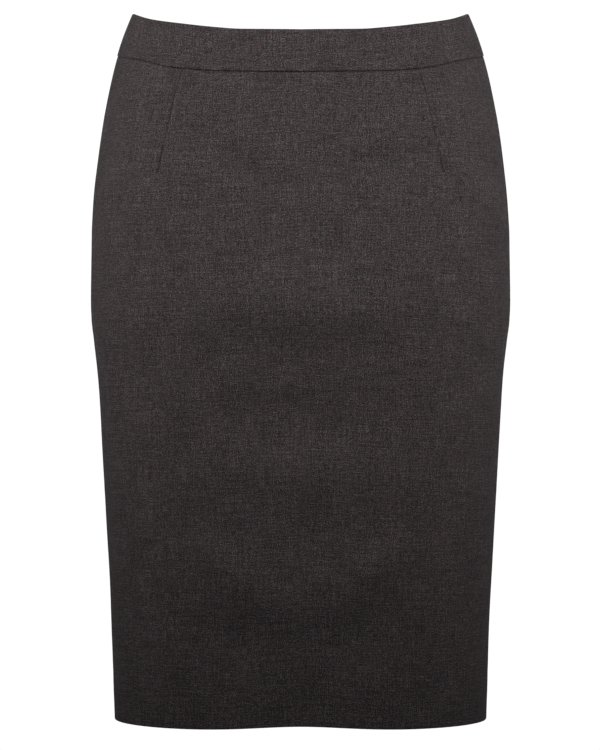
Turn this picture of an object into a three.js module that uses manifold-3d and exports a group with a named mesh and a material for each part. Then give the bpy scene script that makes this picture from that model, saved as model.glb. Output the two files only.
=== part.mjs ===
// A knee-length pencil skirt in fine suiting, filled out as it is worn, with nobody in it.
// It has a front with two darts, two backs with a dart each, a shaped waistband in three pieces,
// a concealed zip at the centre back and a lapped walking vent below it.
// Millimetres. +Z is up, the front faces -Y, and +X is on the right as the front is seen.
// The origin is the middle of the waist opening, level with the middle of the band at the side seams.
import * as THREE from "three";
import { mergeVertices } from "three/addons/utils/BufferGeometryUtils.js";
import Module from "manifold-3d";

const DEGREE = Math.PI / 180;
const FRONT = 90 * DEGREE; // the angle of the centre front; angles run round from +X by way of the front
const BACK = 270 * DEGREE;
const FULL_TURN = 360 * DEGREE;

// Heights at the side seams
const BAND_WIDTH = 36.2; // straight up, at the side seam
const BAND_TOP = BAND_WIDTH / 2;
const WAIST_SEAM = -BAND_WIDTH / 2;
const SKIRT_LENGTH = 569.5; // from the waist seam to the hem, at the side seam
const HEM = WAIST_SEAM - SKIRT_LENGTH;
const HEM_LIFT = { rise: 4, halfWidth: 62 }; // the hem is a little higher at the centre front

// Cloth and seams
const CLOTH = 1.4;
const HEM_THICKNESS = 2.6; // the cloth, turned up once inside
const HEM_DEPTH = 38;
const BAND_PROUD = 0.6; // the band stands this far out from the skirt's surface
const BAND_THICKNESS = 2.4; // two layers of cloth and the stiffening between them
const SEAM_GAP = 0.3;
const SEAM_ROLL = 1.6; // width of the turned edge on each side of a seam
const SEAM_DIP = 0.6; // how far the turned edge goes in at the seam
const FOLD_DIP = 0.5; // rounding of the folded edge at the hem and at the band's top
const FOLD_WIDTH = 1.3;

// Darts: where the stitching starts at the waist seam, and its tip
const FRONT_DART = { topAcross: 99.4, tipAcross: 118.7, tip: -121.9 };
const BACK_DART = { topAcross: 80, tipAcross: 77, tip: -142 };
const DART_DIP = 0.8;
const DART_RIDGE = 1.3; // the folded take-up inside
const DART_TIP_RUN = 8; // length over which the dart runs out into the cloth

// Walking vent at the centre back
const VENT_HEIGHT = 170;
const UNDERLAP_WIDTH = 40;
const UNDERLAP_GAP = 0.4;
const UNDERLAP_RUN = 25; // length over which the under layer sinks below the other

// Concealed zip
const ZIP_LENGTH = 190;
const TAPE_WIDTH = 12;
const TAPE_IN = 2.1; // from the skirt's surface in to the tape
const TAPE_THICKNESS = 0.8;
const CHAIN_HALF = 2;
const CHAIN_THICKNESS = 1.5;
const SLIDER_BELOW_TOP = 9;
const SLIDER_BODY = { halfWidth: 3.8, height: 9, thickness: 2.6 };
const SLIDER_NECK = { halfWidth: 0.75, height: 6 };
const SLIDER_EYE = { near: 1.1, radius: 1, halfRun: 1, wall: 1.2 }; // the slot that the pull hangs in
const NECK_CLEARANCE = 0.55;
const NECK_FLARE = 10; // the band's edges part over this length below the slider
const PULL = { length: 24, halfTop: 2.35, halfEnd: 2.7, thickness: 1.1, bar: 1.1, arm: 1, window: 5.2 };

// Level sections of the cloth's outer surface, from the waist down
const SECTIONS = [
  { up: 18.1, halfWidth: 143.8, front: 93.0, back: 94.0, fullness: 0.014 },
  { up: 8.2, halfWidth: 147.8, front: 94.6, back: 97.2, fullness: 0.014 },
  { up: -5.0, halfWidth: 152.8, front: 96.6, back: 100.6, fullness: 0.015 },
  { up: -18.1, halfWidth: 157.1, front: 98.4, back: 104.2, fullness: 0.016 },
  { up: -38.3, halfWidth: 162.4, front: 101.2, back: 109.8, fullness: 0.018 },
  { up: -72.8, halfWidth: 169.3, front: 105.4, back: 119.2, fullness: 0.02 },
  { up: -107.2, halfWidth: 174.2, front: 108.6, back: 126.4, fullness: 0.02 },
  { up: -141.7, halfWidth: 178.0, front: 110.6, back: 131.0, fullness: 0.02 },
  { up: -176.1, halfWidth: 179.8, front: 111.6, back: 133.0, fullness: 0.02 },
  { up: -227.8, halfWidth: 180.2, front: 111.8, back: 132.8, fullness: 0.02 },
  { up: -245.0, halfWidth: 179.6, front: 111.4, back: 131.8, fullness: 0.02 },
  { up: -262.2, halfWidth: 177.6, front: 110.6, back: 130.4, fullness: 0.019 },
  { up: -296.6, halfWidth: 173.9, front: 108.8, back: 126.8, fullness: 0.017 },
  { up: -348.3, halfWidth: 170.9, front: 107.2, back: 121.0, fullness: 0.015 },
  { up: -417.2, halfWidth: 167.2, front: 106.0, back: 114.0, fullness: 0.013 },
  { up: -486.1, halfWidth: 163.3, front: 105.4, back: 109.0, fullness: 0.012 },
  { up: -555.0, halfWidth: 160.8, front: 105.0, back: 106.4, fullness: 0.012 },
  { up: -588.0, halfWidth: 159.6, front: 105.0, back: 105.6, fullness: 0.012 },
];

// How far the band's top and the waist seam dip below their height at the side seam;
// turn is the angle round from the side seam, in degrees
const FRONT_DIP = [
  { turn: 0, top: 0, seam: 0 },
  { turn: 9, top: 1.2, seam: 1.2 },
  { turn: 18, top: 4.0, seam: 3.8 },
  { turn: 35, top: 10.9, seam: 9.4 },
  { turn: 50, top: 16.1, seam: 17.1 },
  { turn: 63, top: 20.4, seam: 21.0 },
  { turn: 72, top: 22.6, seam: 22.2 },
  { turn: 90, top: 23.6, seam: 23.2 },
];
const BACK_DIP = [
  { turn: 0, top: 0, seam: 0 },
  { turn: 9, top: 0.2, seam: 0.2 },
  { turn: 35, top: 2.0, seam: 2.0 },
  { turn: 90, top: 6.0, seam: 6.0 },
];

// Soft folds: the middle of each, its half-spans, its lean in degrees and how far it rises out of the cloth
const FRONT_FOLDS = [
  { across: 0, up: -226, spanAcross: 92, spanUp: 40, lean: 0, rise: 4.2 },
  { across: 0, up: -318, spanAcross: 78, spanUp: 32, lean: 0, rise: -3.2 },
  { across: 0, up: -372, spanAcross: 84, spanUp: 22, lean: 0, rise: 2.2 },
  { across: 0, up: -424, spanAcross: 56, spanUp: 24, lean: 0, rise: -2.2 },
  { across: -58, up: -462, spanAcross: 46, spanUp: 20, lean: -30, rise: 2.2 },
  { across: 58, up: -462, spanAcross: 46, spanUp: 20, lean: 30, rise: 2.2 },
  { across: -52, up: -520, spanAcross: 34, spanUp: 26, lean: -25, rise: -2.6 },
  { across: 52, up: -520, spanAcross: 34, spanUp: 26, lean: 25, rise: -2.6 },
  { across: 0, up: -572, spanAcross: 34, spanUp: 34, lean: 0, rise: -2.0 },
  { across: -62, up: -112, spanAcross: 34, spanUp: 14, lean: -35, rise: -1.2 },
  { across: 62, up: -112, spanAcross: 34, spanUp: 14, lean: 35, rise: -1.2 },
];
const BACK_FOLDS = [
  { across: -66, up: -205, spanAcross: 62, spanUp: 52, lean: 0, rise: 3.0 },
  { across: 66, up: -205, spanAcross: 62, spanUp: 52, lean: 0, rise: 3.0 },
  { across: -48, up: -308, spanAcross: 66, spanUp: 24, lean: 14, rise: -2.4 },
  { across: 52, up: -314, spanAcross: 66, spanUp: 24, lean: -16, rise: -2.6 },
  { across: -70, up: -392, spanAcross: 52, spanUp: 30, lean: -20, rise: 1.8 },
  { across: 66, up: -404, spanAcross: 52, spanUp: 30, lean: 22, rise: 1.8 },
];

// Grid sizes
const FRONT_STEPS = { sideToDart: 5, dartToMiddle: 7 };
const BACK_STEPS = { sideToDart: 7, dartToMiddle: 5 };
const DART_ROWS = 4;
const BODY_ROWS = 20;
const TAPE_ROWS = 11;

const wasm = await Module();
wasm.setup();

const mix = (a, b, share) => a + (b - a) * share;
const clamp = (value, low, high) => Math.min(high, Math.max(low, value));

function smoothStep(share) {
  const s = clamp(share, 0, 1);
  return s * s * (3 - 2 * s);
}

// One column of a table at a place between its rows, on a smooth curve that doesn't overshoot them.
function readTable(rows, key, column, at) {
  const sign = Math.sign(rows[1][key] - rows[0][key]);
  let i = 0;
  while (i < rows.length - 2 && sign * (at - rows[i + 1][key]) > 0) i += 1;
  const slopeOf = (n) => (rows[n + 1][column] - rows[n][column]) / (rows[n + 1][key] - rows[n][key]);
  const tangentAt = (n) => {
    if (n === 0) return slopeOf(0);
    if (n === rows.length - 1) return slopeOf(n - 1);
    const before = slopeOf(n - 1);
    const after = slopeOf(n);
    return before * after > 0 ? (2 * before * after) / (before + after) : 0;
  };
  const run = rows[i + 1][key] - rows[i][key];
  const s = (at - rows[i][key]) / run;
  if (s < 0) return rows[0][column] + tangentAt(0) * run * s;
  if (s > 1) return rows[i + 1][column] + tangentAt(i + 1) * run * (s - 1);
  const square = s * s;
  const cube = square * s;
  return (
    (2 * cube - 3 * square + 1) * rows[i][column] +
    (cube - 2 * square + s) * run * tangentAt(i) +
    (3 * square - 2 * cube) * rows[i + 1][column] +
    (cube - square) * run * tangentAt(i + 1)
  );
}

function sectionAt(up) {
  const read = (column) => readTable(SECTIONS, "up", column, up);
  return { halfWidth: read("halfWidth"), front: read("front"), back: read("back"), fullness: read("fullness") };
}

// A full oval: fullness fills its four shoulders out.
function ovalAcross(section, angle) {
  const k = section.fullness;
  return (section.halfWidth * (Math.cos(angle) - k * Math.cos(3 * angle))) / (1 - k);
}

function ovalDepth(section, angle) {
  const k = section.fullness;
  const share = (Math.sin(angle) + k * Math.sin(3 * angle)) / (1 - k);
  return share > 0 ? -section.front * share : -section.back * share;
}

function foldRise(across, up, folds) {
  let rise = 0;
  for (const fold of folds) {
    const lean = fold.lean * DEGREE;
    const dx = across - fold.across;
    const dz = up - fold.up;
    const along = (dx * Math.cos(lean) + dz * Math.sin(lean)) / fold.spanAcross;
    const over = (dz * Math.cos(lean) - dx * Math.sin(lean)) / fold.spanUp;
    rise += fold.rise * Math.exp(-along * along - over * over);
  }
  return rise;
}

// The skirt's surface without its soft folds.
function ovalPoint(angle, up) {
  const section = sectionAt(up);
  return new THREE.Vector3(ovalAcross(section, angle), ovalDepth(section, angle), up);
}

function outwardAt(angle, up) {
  const turn = 0.002;
  const step = 0.5;
  const round = ovalPoint(angle + turn, up).sub(ovalPoint(angle - turn, up));
  const rising = ovalPoint(angle, up + step).sub(ovalPoint(angle, up - step));
  return rising.cross(round).normalize();
}

// A point on the cloth, the given distance in from its outer surface.
function clothPoint(angle, up, inward) {
  const point = ovalPoint(angle, up);
  const folds = Math.sin(angle) > 0 ? FRONT_FOLDS : BACK_FOLDS;
  const fadeAtSeam = Math.abs(Math.sin(angle));
  const rise = foldRise(point.x, up, folds) * fadeAtSeam;
  return point.addScaledVector(outwardAt(angle, up), rise - inward);
}

// The angle for a distance round the cloth, near a side seam and near the centre front or back.
function turnAtSide(distance, up, isFront) {
  const { front, back, fullness } = sectionAt(up);
  return (distance * (1 - fullness)) / ((isFront ? front : back) * (1 + 3 * fullness));
}

function turnAtCentre(distance, up) {
  const { halfWidth, fullness } = sectionAt(up);
  return (distance * (1 - fullness)) / (halfWidth * (1 + 3 * fullness));
}

// The angle, up to a quarter turn, at which the cloth is so far out from the centre line.
function turnForAcross(across, up) {
  const section = sectionAt(up);
  let low = 0;
  let high = 90 * DEGREE;
  for (let n = 0; n < 40; n += 1) {
    const middle = (low + high) / 2;
    if (ovalAcross(section, middle) > across) low = middle;
    else high = middle;
  }
  return (low + high) / 2;
}

function turnFromSide(angle) {
  const wrapped = ((angle % Math.PI) + Math.PI) % Math.PI;
  return Math.min(wrapped, Math.PI - wrapped) / DEGREE;
}

function dipAt(angle, column) {
  return readTable(Math.sin(angle) >= 0 ? FRONT_DIP : BACK_DIP, "turn", column, turnFromSide(angle));
}

const bandTopAt = (angle) => BAND_TOP - dipAt(angle, "top");
const waistSeamAt = (angle) => WAIST_SEAM - dipAt(angle, "seam");

function hemAt(angle) {
  if (Math.sin(angle) < 0) return HEM;
  const across = ovalAcross(sectionAt(HEM), angle) / HEM_LIFT.halfWidth;
  return HEM + HEM_LIFT.rise * Math.exp(-across * across);
}

// A closed wall of cloth over a grid: grid[row][column] holds its outer and inner point,
// and hasCell says which cells between them are cloth.
function clothWall(grid, hasCell = () => true) {
  const rows = grid.length;
  const columns = grid[0].length;
  const positions = [];
  const index = [];
  const number = (row, column, face) => (row * columns + column) * 2 + face;
  for (const row of grid) {
    for (const { outer, inner } of row) positions.push(...outer.toArray(), ...inner.toArray());
  }
  const quad = (a, b, c, d) => index.push(a, b, c, a, c, d);
  const cell = (row, column) =>
    row >= 0 && column >= 0 && row < rows - 1 && column < columns - 1 && hasCell(row, column);
  for (let r = 0; r < rows - 1; r += 1) {
    for (let c = 0; c < columns - 1; c += 1) {
      if (!cell(r, c)) continue;
      const corners = [[r, c], [r + 1, c], [r + 1, c + 1], [r, c + 1]];
      const beside = [[r, c - 1], [r + 1, c], [r, c + 1], [r - 1, c]];
      quad(...corners.map(([row, column]) => number(row, column, 0)));
      quad(...corners.map(([row, column]) => number(row, column, 1)).reverse());
      corners.forEach((from, n) => {
        if (cell(...beside[n])) return;
        const to = corners[(n + 1) % 4];
        quad(number(...to, 0), number(...from, 0), number(...from, 1), number(...to, 1));
      });
    }
  }
  return closedGeometry(positions, index);
}

// A geometry with its unused points dropped and its faces pointing out.
function closedGeometry(positions, index) {
  const at = (n) => new THREE.Vector3().fromArray(positions, n * 3);
  let volume = 0;
  for (let n = 0; n < index.length; n += 3) {
    volume += at(index[n]).dot(at(index[n + 1]).cross(at(index[n + 2])));
  }
  if (volume < 0) index.reverse();
  const geometry = new THREE.BufferGeometry();
  geometry.setAttribute("position", new THREE.Float32BufferAttribute(positions, 3));
  geometry.setIndex(index);
  return geometry.toNonIndexed();
}

// Places from first to last in equal steps, without the first.
function spread(first, last, steps) {
  return Array.from({ length: steps }, (_, n) => mix(first, last, (n + 1) / steps));
}

// Half of the gap between the two backs: wider at the top, where the slider's neck comes through.
function centreBackGap(up) {
  const neckBottom = bandTopAt(BACK) - SLIDER_BELOW_TOP - SLIDER_NECK.height / 2;
  const open = SLIDER_NECK.halfWidth + NECK_CLEARANCE;
  return mix(SEAM_GAP / 2, open, smoothStep((up - neckBottom + NECK_FLARE) / NECK_FLARE));
}

// The angles of a front panel's columns from the +X side seam to the centre front.
function frontTurns(up, dart) {
  const edge = turnAtSide(SEAM_GAP / 2, up, true);
  const rolled = turnAtSide(SEAM_ROLL, up, true);
  const share = clamp((up - dart.tip) / (waistSeamAt(FRONT) - dart.tip), 0, 1);
  const height = Math.max(up, dart.tip);
  const stitched = turnForAcross(mix(dart.tipAcross, dart.topAcross, share), height);
  const beside = turnAtCentre(SEAM_ROLL, up);
  return [
    edge,
    rolled,
    ...spread(rolled, stitched - beside, FRONT_STEPS.sideToDart),
    stitched,
    stitched + beside,
    ...spread(stitched + beside, FRONT, FRONT_STEPS.dartToMiddle),
  ];
}

const FRONT_DART_COLUMN = 2 + FRONT_STEPS.sideToDart;

// The same for a back panel, from the side seam to the centre back, as turns from the side seam.
function backTurns(up, dart, edgeGap) {
  const edge = turnAtSide(SEAM_GAP / 2, up, false);
  const rolled = turnAtSide(SEAM_ROLL, up, false);
  const share = clamp((up - dart.tip) / (waistSeamAt(BACK) - dart.tip), 0, 1);
  const stitched = turnForAcross(mix(dart.tipAcross, dart.topAcross, share), Math.max(up, dart.tip));
  const beside = turnAtCentre(SEAM_ROLL, up);
  const quarter = 90 * DEGREE;
  const nearCentre = quarter - turnAtCentre(UNDERLAP_RUN, up);
  return [
    edge,
    rolled,
    ...spread(rolled, stitched - beside, BACK_STEPS.sideToDart),
    stitched,
    stitched + beside,
    ...spread(stitched + beside, nearCentre, BACK_STEPS.dartToMiddle),
    quarter - turnAtCentre(UNDERLAP_RUN / 2, up),
    quarter - turnAtCentre(edgeGap + SEAM_ROLL, up),
    quarter - turnAtCentre(edgeGap, up),
  ];
}

const BACK_DART_COLUMN = 2 + BACK_STEPS.sideToDart;

// The heights of a skirt panel's rows at one angle: waist seam, darts, body, vent and hem.
function panelHeights(angle, dartTip, ventTop) {
  const top = waistSeamAt(angle);
  const bottom = hemAt(angle);
  const tipRows = [dartTip + DART_TIP_RUN, dartTip, dartTip - DART_TIP_RUN];
  const hemTop = bottom + HEM_DEPTH;
  const bodyEnd = ventTop ?? hemTop + 2;
  const bodyRows = ventTop ? Math.round(BODY_ROWS * 0.7) : BODY_ROWS;
  const ventRows = ventTop ? spread(ventTop, hemTop + 2, BODY_ROWS - bodyRows) : [];
  return [
    top - SEAM_GAP / 2,
    top - SEAM_ROLL,
    ...spread(top - SEAM_ROLL, tipRows[0], DART_ROWS),
    ...tipRows.slice(1),
    ...spread(tipRows[2], bodyEnd, bodyRows),
    ...ventRows,
    hemTop,
    bottom + FOLD_WIDTH,
    bottom,
  ];
}

// How far a dart's line is drawn in at this height, as a share of its full depth.
const dartShare = (up, dart) => smoothStep((up - dart.tip + DART_TIP_RUN / 2) / DART_TIP_RUN);

// The wall at one point of a skirt panel: how far in its two faces lie.
function panelDepths({ angle, up, onDart, besideDart, atSeam, dart, sunk }) {
  const above = waistSeamAt(angle) - up;
  const below = up - hemAt(angle);
  let outer = sunk;
  let inner = sunk + (below < HEM_DEPTH + 1 ? HEM_THICKNESS : CLOTH);
  const taken = dartShare(up, dart);
  if (onDart) outer += DART_DIP * taken;
  if (onDart || besideDart) inner += DART_RIDGE * taken;
  if (atSeam || above < SEAM_ROLL / 2) outer += SEAM_DIP;
  if (below < FOLD_WIDTH / 2) {
    outer += FOLD_DIP;
    inner -= FOLD_DIP;
  }
  return { outer, inner };
}

function wallPoint(angle, up, depths) {
  return { outer: clothPoint(angle, up, depths.outer), inner: clothPoint(angle, up, depths.inner) };
}

function frontPanel() {
  const heights = panelHeights(FRONT, FRONT_DART.tip);
  const grid = heights.map((_, row) => {
    const half = (mirrored) => {
      const count = frontTurns(0, FRONT_DART).length;
      return Array.from({ length: count }, (__, column) => {
        // The row's height depends on the angle, and the angle on the height, so it is found in two steps.
        let up = heights[row];
        let turn = 0;
        for (let n = 0; n < 4; n += 1) {
          turn = frontTurns(up, FRONT_DART)[column];
          up = panelHeights(turn, FRONT_DART.tip)[row];
        }
        const angle = mirrored ? Math.PI - turn : turn;
        const depths = panelDepths({
          angle,
          up,
          onDart: column === FRONT_DART_COLUMN,
          besideDart: Math.abs(column - FRONT_DART_COLUMN) === 1,
          atSeam: column === 0,
          dart: FRONT_DART,
          sunk: 0,
        });
        return wallPoint(angle, up, depths);
      });
    };
    return [...half(false), ...half(true).slice(0, -1).reverse()];
  });
  return clothWall(grid);
}

// One back panel; side is 1 for the +X one and -1 for the other. The one with the underlap carries on
// below the other at the vent.
function backPanel(side, hasUnderlap) {
  const ventTop = HEM + VENT_HEIGHT;
  const count = backTurns(0, BACK_DART, SEAM_GAP / 2).length;
  const underlapTurns = (up) => [2, UNDERLAP_WIDTH / 2, UNDERLAP_WIDTH].map((beyond) => turnAtCentre(beyond, up));
  const columns = hasUnderlap ? count + 3 : count;
  const quarter = 90 * DEGREE;
  const turnOf = (column, up) =>
    column < count
      ? backTurns(up, BACK_DART, SEAM_GAP / 2)[column]
      : quarter + underlapTurns(up)[column - count];
  const toAngle = (turn) => (side > 0 ? FULL_TURN - turn : Math.PI + turn);
  const rows = panelHeights(BACK, BACK_DART.tip, ventTop).length;
  const ventRow = panelHeights(BACK, BACK_DART.tip, ventTop).indexOf(ventTop);
  const grid = Array.from({ length: rows }, (_, row) =>
    Array.from({ length: columns }, (__, column) => {
      let up = panelHeights(BACK, BACK_DART.tip, ventTop)[row];
      for (let n = 0; n < 4; n += 1) {
        up = panelHeights(toAngle(turnOf(column, up)), BACK_DART.tip, ventTop)[row];
      }
      const turn = turnOf(column, up);
      const angle = toAngle(turn);
      const fromCentre = (quarter - turn) / turnAtCentre(1, up);
      const depths = panelDepths({
        angle,
        up,
        onDart: column === BACK_DART_COLUMN,
        besideDart: Math.abs(column - BACK_DART_COLUMN) === 1,
        atSeam: column === 0 || (column === count - 1 && row < ventRow),
        dart: BACK_DART,
        sunk: hasUnderlap ? underlapSink(fromCentre, up) : 0,
      });
      return wallPoint(angle, up, depths);
    }),
  );
  return clothWall(grid, (row, column) => column < count - 1 || row >= ventRow);
}

// How far the under layer of the vent lies in, below the layer that laps over it.
function underlapSink(fromCentre, up) {
  const hemTop = HEM + HEM_DEPTH;
  const overThickness = mix(HEM_THICKNESS, CLOTH, smoothStep((up - hemTop - 3) / UNDERLAP_RUN));
  const across = smoothStep(1 - fromCentre / UNDERLAP_RUN);
  const down = smoothStep((HEM + VENT_HEIGHT + UNDERLAP_RUN - up) / UNDERLAP_RUN);
  return (overThickness + UNDERLAP_GAP) * across * down;
}

// A stretch of waistband. Its columns stand on those of the panel below it, apart from the last few
// at the centre back, which follow the opening.
function waistband(turnsAt, toAngle, openColumns = 0) {
  const rowsAt = (angle) => {
    const top = bandTopAt(angle);
    const bottom = waistSeamAt(angle) + SEAM_GAP / 2;
    return [bottom, bottom + SEAM_ROLL, ...spread(bottom + SEAM_ROLL, top - FOLD_WIDTH, 3), top];
  };
  const rows = rowsAt(0).length;
  const count = turnsAt(0).length;
  const angleAt = (column, heightAt) => {
    let up = 0;
    for (let n = 0; n < 4; n += 1) up = heightAt(toAngle(turnsAt(up)[column]));
    return toAngle(turnsAt(up)[column]);
  };
  const grid = Array.from({ length: rows }, (_, row) =>
    Array.from({ length: count }, (__, column) => {
      const isOpen = column >= count - openColumns;
      const angle = angleAt(column, isOpen ? (at) => rowsAt(at)[row] : waistSeamAt);
      const up = rowsAt(angle)[row];
      const atEnd = column === 0 || column === count - 1;
      let outer = -BAND_PROUD;
      let inner = BAND_THICKNESS - BAND_PROUD;
      if (atEnd || row === 0) outer += SEAM_DIP;
      if (row === rows - 1) {
        outer += FOLD_DIP;
        inner -= FOLD_DIP;
      }
      return wallPoint(angle, up, { outer, inner });
    }),
  );
  return clothWall(grid);
}

function frontWaistband() {
  const turnsAt = (up) => {
    const half = frontTurns(up, FRONT_DART);
    return [...half, ...half.slice(0, -1).reverse().map((turn) => Math.PI - turn)];
  };
  return waistband(turnsAt, (turn) => turn);
}

function backWaistband(side) {
  const turnsAt = (up) => backTurns(up, BACK_DART, centreBackGap(up));
  return waistband(turnsAt, (turn) => (side > 0 ? FULL_TURN - turn : Math.PI + turn), 2);
}

// A strip that lies inside the centre back. across gives its columns in millimetres from the centre
// at each height, and depths the faces of each column.
function innerStrip(topUp, bottomUp, rows, across, depths) {
  const heights = [topUp, ...spread(topUp, bottomUp, rows)];
  const grid = heights.map((up) =>
    across(up).map((distance, column) => {
      const angle = BACK + turnAtCentre(distance, up);
      return wallPoint(angle, up, depths[column]);
    }),
  );
  return clothWall(grid);
}

const ZIP_TOP = bandTopAt(BACK) - 1.5;
const ZIP_BOTTOM = ZIP_TOP - ZIP_LENGTH;
const SLIDER_UP = bandTopAt(BACK) - SLIDER_BELOW_TOP;
const TAPE_FACES = { outer: TAPE_IN, inner: TAPE_IN + TAPE_THICKNESS };

function zipTape(side) {
  const across = (up) => {
    const near = centreBackGap(up);
    return [near, near + TAPE_WIDTH / 2, near + TAPE_WIDTH].map((distance) => distance * side);
  };
  return innerStrip(ZIP_TOP, ZIP_BOTTOM, TAPE_ROWS, across, [TAPE_FACES, TAPE_FACES, TAPE_FACES]);
}

function zipChain() {
  const outer = TAPE_FACES.inner + SEAM_GAP;
  const low = { outer, inner: outer + CHAIN_THICKNESS / 2 };
  const high = { outer, inner: outer + CHAIN_THICKNESS };
  const top = SLIDER_UP - SLIDER_BODY.height / 2 - SEAM_GAP;
  const places = [-CHAIN_HALF, -CHAIN_HALF / 2, CHAIN_HALF / 2, CHAIN_HALF];
  return innerStrip(top, ZIP_BOTTOM + 2, TAPE_ROWS, () => places, [low, high, high, low]);
}

// The slider's frame: x across, y outwards from the cloth and z up along it.
function sliderFrame() {
  const lower = clothPoint(BACK, SLIDER_UP - PULL.length, 0);
  const upper = clothPoint(BACK, SLIDER_UP, 0);
  const frame = new THREE.Group();
  frame.position.copy(upper);
  frame.rotation.x = Math.atan2(lower.y - upper.y, upper.z - lower.z);
  return frame;
}

function roundedShape(halfWidth, low, high, radius) {
  // Each arc is joined to the one before it by a straight edge.
  const shape = new THREE.Shape();
  shape.absarc(halfWidth - radius, low + radius, radius, -90 * DEGREE, 0);
  shape.absarc(halfWidth - radius, high - radius, radius, 0, 90 * DEGREE);
  shape.absarc(-halfWidth + radius, high - radius, radius, 90 * DEGREE, 180 * DEGREE);
  shape.absarc(-halfWidth + radius, low + radius, radius, 180 * DEGREE, BACK);
  return shape;
}

// A flat shape drawn in x and z, given its thickness from y = near to y = far.
function plate(shape, near, far) {
  const geometry = new THREE.ExtrudeGeometry(shape, {
    depth: far - near,
    bevelEnabled: false,
    curveSegments: 5,
  });
  return geometry.rotateX(90 * DEGREE).translate(0, far, 0);
}

function toSolid(geometry) {
  const bare = geometry.clone();
  bare.deleteAttribute("normal");
  bare.deleteAttribute("uv");
  const merged = mergeVertices(bare, 1e-4);
  const mesh = new wasm.Mesh({
    numProp: 3,
    vertProperties: new Float32Array(merged.attributes.position.array),
    triVerts: new Uint32Array(merged.index.array),
  });
  return new wasm.Manifold(mesh);
}

function toGeometry(solid) {
  const mesh = solid.getMesh();
  const geometry = new THREE.BufferGeometry();
  geometry.setAttribute("position", new THREE.BufferAttribute(mesh.vertProperties, 3));
  geometry.setIndex(new THREE.BufferAttribute(mesh.triVerts, 1));
  return geometry.toNonIndexed();
}

// The slider: a body inside, and a neck that comes out through the seam with the eye for the pull.
function zipSlider() {
  const bodyNear = -(TAPE_FACES.inner + SEAM_GAP);
  const half = SLIDER_BODY.height / 2;
  const body = plate(
    roundedShape(SLIDER_BODY.halfWidth, -half, half, 1.8),
    bodyNear - SLIDER_BODY.thickness,
    bodyNear,
  );
  const far = SLIDER_EYE.near + 2 * SLIDER_EYE.radius + SLIDER_EYE.wall;
  const neckHalf = SLIDER_NECK.height / 2;
  // Drawn with x as the way out and y as up, then turned upright.
  const side = new THREE.Shape();
  side.absarc(far - 1.2, -neckHalf + 1.2, 1.2, -90 * DEGREE, 0);
  side.absarc(far - 1.2, neckHalf - 1.2, 1.2, 0, 90 * DEGREE);
  side.lineTo(bodyNear - 1, neckHalf);
  side.lineTo(bodyNear - 1, -neckHalf);
  const eye = new THREE.Path();
  const eyeOut = SLIDER_EYE.near + SLIDER_EYE.radius;
  eye.absarc(eyeOut, SLIDER_EYE.halfRun, SLIDER_EYE.radius, 0, Math.PI);
  eye.absarc(eyeOut, -SLIDER_EYE.halfRun, SLIDER_EYE.radius, Math.PI, FULL_TURN);
  side.holes.push(eye);
  const neck = new THREE.ExtrudeGeometry(side, {
    depth: 2 * SLIDER_NECK.halfWidth,
    bevelEnabled: false,
    curveSegments: 6,
  });
  neck.translate(0, 0, -SLIDER_NECK.halfWidth);
  // (out, up, across) becomes (across, out, up), which is a turn and no mirror.
  neck.applyMatrix4(new THREE.Matrix4().set(0, 0, 1, 0, 1, 0, 0, 0, 0, 1, 0, 0, 0, 0, 0, 1));
  return toGeometry(toSolid(body).add(toSolid(neck)));
}

// The pull: a bar through the eye, two arms and a tab.
function zipPull() {
  const { length, halfTop, halfEnd, thickness, bar, arm, window } = PULL;
  const shape = new THREE.Shape();
  shape.moveTo(-halfTop, bar / 2);
  shape.lineTo(-halfTop, -window - arm);
  shape.absarc(0, -length + halfEnd, halfEnd, Math.PI, FULL_TURN);
  shape.lineTo(halfTop, -window - arm);
  shape.lineTo(halfTop, bar / 2);
  const opening = new THREE.Path();
  opening.moveTo(-halfTop + arm, -bar / 2);
  opening.lineTo(halfTop - arm, -bar / 2);
  opening.lineTo(halfTop - arm, -window);
  opening.lineTo(-halfTop + arm, -window);
  shape.holes.push(opening);
  return plate(shape, -thickness / 2, thickness / 2);
}

const suiting = new THREE.MeshStandardMaterial({ color: 0x3c3838, roughness: 0.92, metalness: 0 });
const tapeCloth = new THREE.MeshStandardMaterial({ color: 0x2c2a2b, roughness: 0.85, metalness: 0 });
const coil = new THREE.MeshStandardMaterial({ color: 0x252425, roughness: 0.5, metalness: 0 });
const enamel = new THREE.MeshStandardMaterial({ color: 0x2e2c2d, roughness: 0.4, metalness: 0.3 });

const skirt = new THREE.Group();

function addPiece(name, geometry, material, parent = skirt) {
  const mesh = new THREE.Mesh(geometry, material);
  mesh.name = name;
  parent.add(mesh);
  return mesh;
}

addPiece("front_panel", frontPanel(), suiting);
addPiece("back_panel_right", backPanel(1, false), suiting);
addPiece("back_panel_left", backPanel(-1, true), suiting);
addPiece("waistband_front", frontWaistband(), suiting);
addPiece("waistband_back_right", backWaistband(1), suiting);
addPiece("waistband_back_left", backWaistband(-1), suiting);
addPiece("zip_tape_right", zipTape(1), tapeCloth);
addPiece("zip_tape_left", zipTape(-1), tapeCloth);
addPiece("zip_chain", zipChain(), coil);

const slider = sliderFrame();
addPiece("zip_slider", zipSlider(), enamel, slider);
const pull = addPiece("zip_pull", zipPull(), enamel, slider);
pull.position.set(0, SLIDER_EYE.near + SLIDER_EYE.radius, -SLIDER_EYE.halfRun);
skirt.add(slider);

export default skirt;
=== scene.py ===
"""A knee-length pencil skirt in charcoal wool suiting, filled out as it is worn.

Every piece of cloth is a thin sheet on the form of its solid: the front and the two backs with their
turned edges, seam allowances, darts and hem, the band folded over at the top, the concealed zip, and
the stitching. Sizes in the tables are in millimetres; the objects are in metres.
"""

import math

import bmesh
import bpy
import numpy as np
from mathutils import Matrix, Vector


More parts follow.
